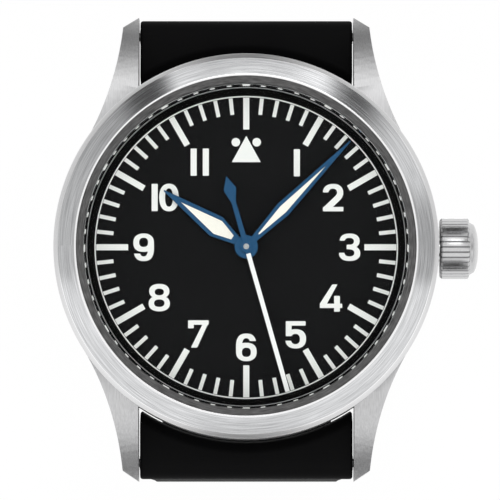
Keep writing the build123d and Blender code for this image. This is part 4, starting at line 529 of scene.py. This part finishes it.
ONE = box(-0.285, -1.275, 0.285, 1.275)
ZERO = less(ellipse(0, 0, 0.91, 1.29), ellipse(0, 0, 0.37, 0.86))
SIX = less(
    union(
        less(ellipse(0, 0, 0.96, 1.29, 2.6), ellipse(0.0, 0.0, 0.40, 0.86, 2.6), box(0.0, -0.4, 1.5, 0.60)),
        ellipse(0.01, -0.42, 0.96, 0.85, 2.4),
    ),
    ellipse(0.01, -0.46, 0.42, 0.43, 2.4), box(0.35, 0.38, 1.2, 0.6),
)
GLYPHS = {
    "1": ONE,
    "2": union(
        less(ellipse(0.02, 0.45, 0.95, 0.84), ellipse(0.0, 0.44, 0.40, 0.41), box(-1.5, -1.5, 0.0, 0.50),
             box(-1.5, -1.5, 1.5, 0.18)),
        polygon((0.40, 0.40), (0.955, 0.30), (0.86, 0.02), (0.72, -0.17), (0.0, -0.87), (-0.93, -0.87),
                (-0.93, -0.95), (0.25, 0.17)),
        box(-0.93, -1.275, 0.98, -0.87),
    ),
    "3": union(
        less(
            union(ellipse(0.0, 0.59, 0.93, 0.69), ellipse(0.0, -0.57, 0.99, 0.71)),
            ellipse(-0.03, 0.56, 0.43, 0.32), ellipse(-0.02, -0.53, 0.46, 0.33),
            box(-1.5, -0.52, -0.02, 0.62),
        ),
        box(-0.28, -0.18, 0.3, 0.24),
    ),
    "4": union(
        polygon((0.12, 1.275), (0.60, 1.275), (-0.38, -0.53), (-0.38, -0.93), (-1.04, -0.93), (-1.04, -0.52)),
        box(-1.04, -0.93, 1.05, -0.53), box(0.29, -1.275, 0.83, 0.20),
    ),
    "5": union(
        less(
            ellipse(0.02, -0.38, 0.97, 0.90), ellipse(0.0, -0.40, 0.42, 0.48),
            box(-1.5, -0.56, -0.02, -0.12), box(-1.5, -0.56, -0.36, 1.5),
        ),
        box(-0.90, -0.13, -0.36, 1.275), box(-0.90, 0.86, 0.95, 1.275),
    ),
    "6": SIX,
    "7": union(
        polygon((0.97, 1.275), (0.97, 1.08), (-0.10, -1.275), (-0.68, -1.275), (0.38, 0.86), (0.38, 1.275)),
        box(-0.95, 0.86, 0.97, 1.275), box(-0.95, 0.53, -0.42, 1.275),
    ),
    "8": less(union(ellipse(0, 0.60, 0.94, 0.68), ellipse(0, -0.55, 0.99, 0.73)),
              ellipse(0, 0.53, 0.43, 0.31), ellipse(0, -0.52, 0.49, 0.35)),
    "9": turned_round(SIX),
    "10": union(moved(ONE, -0.90), moved(ZERO, 0.44)),
    "11": union(moved(ONE, -0.57), moved(ONE, 0.57)),
}
NUMERAL_PLACES = {
    "1": (4.74, 7.93), "2": (8.11, 4.65), "3": (9.68, 0.0), "4": (7.93, -4.76), "5": (4.60, -8.20),
    "6": (0.0, -9.38), "7": (-4.49, -8.12), "8": (-8.14, -4.72), "9": (-9.60, 0.0), "10": (-7.68, 4.67),
    "11": (-4.36, 7.99),
}
GLYPH_REACH = 1.6
GLYPH_STEP = 0.04
GRID_SHIFT = 1e-6
NEVER_ZERO = 1e-9


def contour(shape):
    """Closed outlines where a shape's value is zero, found cell by cell."""
    count = int(2 * GLYPH_REACH / GLYPH_STEP) + 1
    axis = np.linspace(-GLYPH_REACH, GLYPH_REACH, count) + GRID_SHIFT
    x, y = np.meshgrid(axis, axis, indexing="ij")
    value = shape(x, y)
    value = np.where(np.abs(value) < NEVER_ZERO, NEVER_ZERO, value)

    def crossing(a, b):
        share = value[a] / (value[a] - value[b])
        return tuple(axis[a[n]] + (axis[b[n]] - axis[a[n]]) * share for n in (0, 1))

    links, places = {}, {}
    for i in range(count - 1):
        for j in range(count - 1):
            corners = [(i, j), (i + 1, j), (i + 1, j + 1), (i, j + 1)]
            signs = [value[c] < 0 for c in corners]
            if all(signs) or not any(signs):
                continue
            cuts = []
            for k in range(4):
                a, b = corners[k], corners[(k + 1) % 4]
                if signs[k] != signs[(k + 1) % 4]:
                    key = (a, b) if a < b else (b, a)
                    places[key] = crossing(a, b)
                    cuts.append((key, signs[k]))
            starts = [key for key, inside in cuts if inside]
            ends = [key for key, inside in cuts if not inside]
            for start, end in zip(starts, ends):
                links[start] = end
    loops = []
    while links:
        first, following = links.popitem()
        loop = [first]
        while following != first:
            loop.append(following)
            following = links.pop(following)
        loops.append([places[key] for key in loop])
    return loops


def flat_piece(name, loops, thickness, material, body, shift, base):
    """A thin plate from closed outlines, holes included."""
    curve = bpy.data.curves.new(name, "CURVE")
    curve.dimensions = "2D"
    curve.fill_mode = "BOTH"
    curve.extrude = thickness / 2 * MM
    for loop in loops:
        spline = curve.splines.new("POLY")
        spline.points.add(len(loop) - 1)
        for point, (x, y) in zip(spline.points, loop):
            point.co = ((x + shift[0]) * MM, (y + shift[1]) * MM, 0, 1)
        spline.use_cyclic_u = True
    holder = bpy.data.objects.new(name, curve)
    bpy.context.scene.collection.objects.link(holder)
    bpy.context.view_layer.update()
    mesh = bpy.data.meshes.new_from_object(holder.evaluated_get(bpy.context.evaluated_depsgraph_get()))
    bpy.data.objects.remove(holder)
    mesh.transform(Matrix.Translation((0, 0, (base + thickness / 2) * MM)))
    cleaned(mesh, merge=MERGE, dissolve=1.5)
    mesh.name = name
    return shown(name, mesh, [material], body)


PAINT = 0.05
for numeral, place in NUMERAL_PLACES.items():
    flat_piece("numeral_" + numeral, contour(GLYPHS[numeral]), PAINT, lume_white, "head", place,
               DIAL_TOP)

# The thin printed circle that closes the minute track
CIRCLE_TOP = DIAL_TOP + 0.03
lathe("minute_circle", [(14.09, DIAL_TOP), (14.21, DIAL_TOP), (14.21, CIRCLE_TOP), (14.09, CIRCLE_TOP)],
      [lume_white], "head", radius=0.005)

# Hour and minute hand
softened("hour_hand_blade", "hour_hand", HAND_EDGE, [blued], "hour_train", segments=2)
softened("minute_hand_blade", "minute_hand", HAND_EDGE, [blued], "minute_train", segments=2)


# Seconds hand, drawn along +X from its hub: a blued hub with the tail, and a white front
def arc(radius, start, end, count=22):
    """Points on a circle from one angle up to, but without, another."""
    return [(radius * cos(start + (end - start) * n / count), radius * sin(start + (end - start) * n / count))
            for n in range(count)]


def aimed(points, clock_angle):
    """Points drawn along +X turned to a clock angle."""
    angle = radians(90 - clock_angle)
    return [(x * cos(angle) - y * sin(angle), x * sin(angle) + y * cos(angle)) for x, y in points]


SECONDS_ANGLE = 164.1
SECONDS_BACK = DIAL_TOP + 1.25
SECONDS_THICK = 0.1
SECONDS_TIP = 14.1
HUB_RADIUS = 0.54
ARM_HALF = 0.21
PAINT_START = 0.69
lean = atan2(ARM_HALF, (HUB_RADIUS * HUB_RADIUS - ARM_HALF * ARM_HALF) ** 0.5)
tail = [(PAINT_START, -ARM_HALF), (PAINT_START, ARM_HALF)]
tail += arc(HUB_RADIUS, lean, pi - lean)
tail += [(-4.29, ARM_HALF), (-5.58, 0.6), (-6.85, 0), (-5.58, -0.6), (-4.29, -ARM_HALF)]
tail += arc(HUB_RADIUS, pi + lean, 2 * pi - lean)
flat_piece("seconds_tail", [aimed(tail, SECONDS_ANGLE)], SECONDS_THICK, blued,
           "seconds_train", (0, 0), SECONDS_BACK)
front = [(PAINT_START, -ARM_HALF), (SECONDS_TIP, -ARM_HALF), (SECONDS_TIP, ARM_HALF), (PAINT_START, ARM_HALF)]
seconds_front = flat_piece("seconds_front", [aimed(front, SECONDS_ANGLE)], SECONDS_THICK, white_paint,
                           "seconds_train", (0, 0), SECONDS_BACK)
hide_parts("seconds_hand")
lathe("seconds_pipe", [(0.01, 7.2), (0.27, 7.2), (0.27, 7.43), (0.19, 7.43), (0.13, 7.39), (0.01, 7.4)],
      [pipe_steel], "seconds_train", segments=48)

# Strap
DRAWN_FROM = CASE_RADIUS + 0.35
DRAWN_TO = CASE_RADIUS + 0.04


def drawn_up(piece):
    """Draws the lower edge of a strap end up to the case's wall. The swing takes that edge away from it."""
    for vertex in piece.data.vertices:
        reach = hypot(vertex.co.x, vertex.co.y) / MM
        if 0 < vertex.co.z < BAR_Z * MM and reach < DRAWN_FROM:
            vertex.co.x *= DRAWN_TO / reach
            vertex.co.y *= DRAWN_TO / reach


for half in ("strap_short", "strap_long"):
    drawn_up(softened(half + "_moulded", half, STRAP_EDGE, [strap_rubber], half, segments=4,
                      clamp=False))
softened("free_keeper_moulded", "free_keeper", STRAP_EDGE, [strap_rubber], "free_keeper",
         segments=4)
softened("buckle_frame_softened", "buckle_frame", BUCKLE_EDGE, [brushed_side, polished], "buckle_frame",
         edge_material=1)
softened("buckle_tang_softened", "buckle_tang", BUCKLE_EDGE, [polished], "buckle_tang")

# Floor, which glows for the camera and in reflections, so that it shows as the white ground
FLOOR_Z = -85.65 * MM
FLOOR_REACH = 6.0
FLOOR_GLOW = 0.95
WHITE = (1, 1, 1, 1)
floor_mesh = bpy.data.meshes.new("floor")
floor_mesh.from_pydata([(-FLOOR_REACH, -FLOOR_REACH, FLOOR_Z), (FLOOR_REACH, -FLOOR_REACH, FLOOR_Z),
                        (FLOOR_REACH, FLOOR_REACH, FLOOR_Z), (-FLOOR_REACH, FLOOR_REACH, FLOOR_Z)],
                       [], [(0, 1, 2, 3)])
floor = bpy.data.objects.new("floor", floor_mesh)
bpy.context.scene.collection.objects.link(floor)
floor_material, tree, output, shader = new_material("pale_floor")
shader.inputs["Base Color"].default_value = (0.92, 0.92, 0.92, 1)
shader.inputs["Roughness"].default_value = 0.9
shader.inputs["Specular IOR Level"].default_value = 0.1
glow = tree.nodes.new("ShaderNodeEmission")
glow.inputs["Color"].default_value = WHITE
glow.inputs["Strength"].default_value = 1.0
path = tree.nodes.new("ShaderNodeLightPath")
mirrored = math_node(tree, "MAXIMUM", path.outputs["Is Glossy Ray"], path.outputs["Is Transmission Ray"])
seen = math_node(tree, "MAXIMUM", path.outputs["Is Camera Ray"], mirrored)
mix = tree.nodes.new("ShaderNodeMixShader")
tree.links.new(math_node(tree, "MULTIPLY", seen, FLOOR_GLOW), mix.inputs[0])
tree.links.new(shader.outputs[0], mix.inputs[1])
tree.links.new(glow.outputs[0], mix.inputs[2])
tree.links.new(mix.outputs[0], output.inputs[0])
floor_mesh.materials.append(floor_material)

# Studio
world = bpy.data.worlds.new("studio")
bpy.context.scene.world = world
world.use_nodes = True
tree = world.node_tree
tree.nodes.clear()
world_out = tree.nodes.new("ShaderNodeOutputWorld")
background = tree.nodes.new("ShaderNodeBackground")
coordinates = tree.nodes.new("ShaderNodeTexCoord")
direction = tree.nodes.new("ShaderNodeSeparateXYZ")
tree.links.new(coordinates.outputs["Generated"], direction.inputs[0])
east, north, height = direction.outputs


def grey_ramp(value, stops):
    """A ramp of greys in the world's tree, from (place, grey) stops."""
    node = tree.nodes.new("ShaderNodeValToRGB")
    tree.links.new(value, node.inputs[0])
    while len(node.color_ramp.elements) < len(stops):
        node.color_ramp.elements.new(0.5)
    for element, (place, grey) in zip(node.color_ramp.elements, stops):
        element.position = place
        element.color = (grey, grey, grey, 1)
    return node.outputs[0]


def colour_mix(factor, first, second):
    """A mix of two colours in the world's tree. A Mix node has its colours at inputs 6 and 7 and output 2."""
    node = tree.nodes.new("ShaderNodeMix")
    node.data_type = "RGBA"
    for place, value in ((0, factor), (6, first), (7, second)):
        feed(tree, node.inputs[place], value)
    return node.outputs[2]


# Panels round the studio, in degrees from 12 o'clock, with darker gaps between them
PANELS = [
    (0, 1.15), (23, 1.15), (28, 0.25), (32, 0.0), (38, 0.12), (44, 0.6), (52, 0.95), (65, 0.9), (74, 0.55),
    (84, 0.5), (95, 0.55), (100, 1.12), (140, 1.05), (175, 1.05), (205, 1.05), (225, 1.08), (262, 1.1),
    (266, 0.7), (300, 0.6), (319, 0.42), (325, 0.08), (332, 0.0), (335, 0.1), (339, 1.15),
]
compass = math_node(tree, "ARCTAN2", east, north)
turns = math_node(tree, "MULTIPLY", compass, 1 / (2 * pi))
panels = grey_ramp(math_node(tree, "FRACT", math_node(tree, "ADD", turns, 1.0)),
                   [(angle / 360, grey) for angle, grey in PANELS])
band = grey_ramp(height, [(0.0, 0.0), (0.3, 0.0), (0.42, 1.0), (0.93, 1.0), (0.975, 0.0)])
steady = grey_ramp(height, [(0.0, 0.7), (0.4, 0.85), (0.7, 0.97), (1.0, 1.0)])
studio = colour_mix(band, steady, panels)

# Towards 12 and 6 o'clock the studio is dim low down, which darkens the lugs' ends and the crown's flanks
DUSK_SHARE = 0.92
LEAST_LEVEL = 0.01
level = math_node(tree, "SQRT", math_node(tree, "SUBTRACT", 1.0, math_node(tree, "MULTIPLY", height, height)))
towards = math_node(tree, "DIVIDE", math_node(tree, "ABSOLUTE", north),
                    math_node(tree, "MAXIMUM", level, LEAST_LEVEL))
sector = grey_ramp(towards, [(0.0, 0.0), (0.93, 0.0), (0.985, 1.0)])
nadir_to_zenith = math_node(tree, "ADD", math_node(tree, "MULTIPLY", height, 0.5), 0.5)
low_down = grey_ramp(nadir_to_zenith, [(0.0, 0.0), (0.42, 0.0), (0.48, 1.0), (0.79, 1.0), (0.86, 0.0)])
dusk = math_node(tree, "MULTIPLY", math_node(tree, "MULTIPLY", sector, low_down), DUSK_SHARE)
dim = math_node(tree, "SUBTRACT", 1.0, dusk)

# The camera sees plain white, and diffuse surfaces get more light than mirror-like ones
DIFFUSE_EXTRA = 0.5
path = tree.nodes.new("ShaderNodeLightPath")
tree.links.new(colour_mix(path.outputs["Is Camera Ray"], studio, WHITE), background.inputs["Color"])
extra = math_node(tree, "MULTIPLY", path.outputs["Is Diffuse Ray"], DIFFUSE_EXTRA)
strength = math_node(tree, "MAXIMUM", math_node(tree, "ADD", extra, dim), path.outputs["Is Camera Ray"])
tree.links.new(strength, background.inputs["Strength"])
tree.links.new(background.outputs[0], world_out.inputs[0])

# Key lamp, square and soft, from above 12 o'clock
HEAD_MIDDLE = Vector((0, 0, 0.006))
lamp = bpy.data.lights.new("key", "AREA")
lamp.shape = "RECTANGLE"
lamp.size, lamp.size_y = 0.2, 0.2
lamp.energy = 0.22
key = bpy.data.objects.new("key", lamp)
bpy.context.scene.collection.objects.link(key)
key.location = Vector((0.05, 0.25, 0.6))
key.rotation_mode = "QUATERNION"
key.rotation_quaternion = (key.location - HEAD_MIDDLE).to_track_quat("Z", "Y")

# Camera, almost straight above the dial and leaning a little towards 6 o'clock
CAMERA_TILT = radians(3.3)
CAMERA_DISTANCE = 0.6
camera_data = bpy.data.cameras.new("camera")
camera = bpy.data.objects.new("camera", camera_data)
bpy.context.scene.collection.objects.link(camera)
bpy.context.scene.camera = camera
camera_data.sensor_width = 36
camera_data.lens = 461.5
camera_data.clip_start, camera_data.clip_end = 0.01, 20
aim = Vector((0.35, -0.26, 6.0)) * MM
back = Vector((0, -sin(CAMERA_TILT), cos(CAMERA_TILT)))
camera.location = aim + back * CAMERA_DISTANCE
camera.rotation_mode = "QUATERNION"
camera.rotation_quaternion = back.to_track_quat("Z", "Y")

bpy.context.scene.view_settings.view_transform = "Standard"
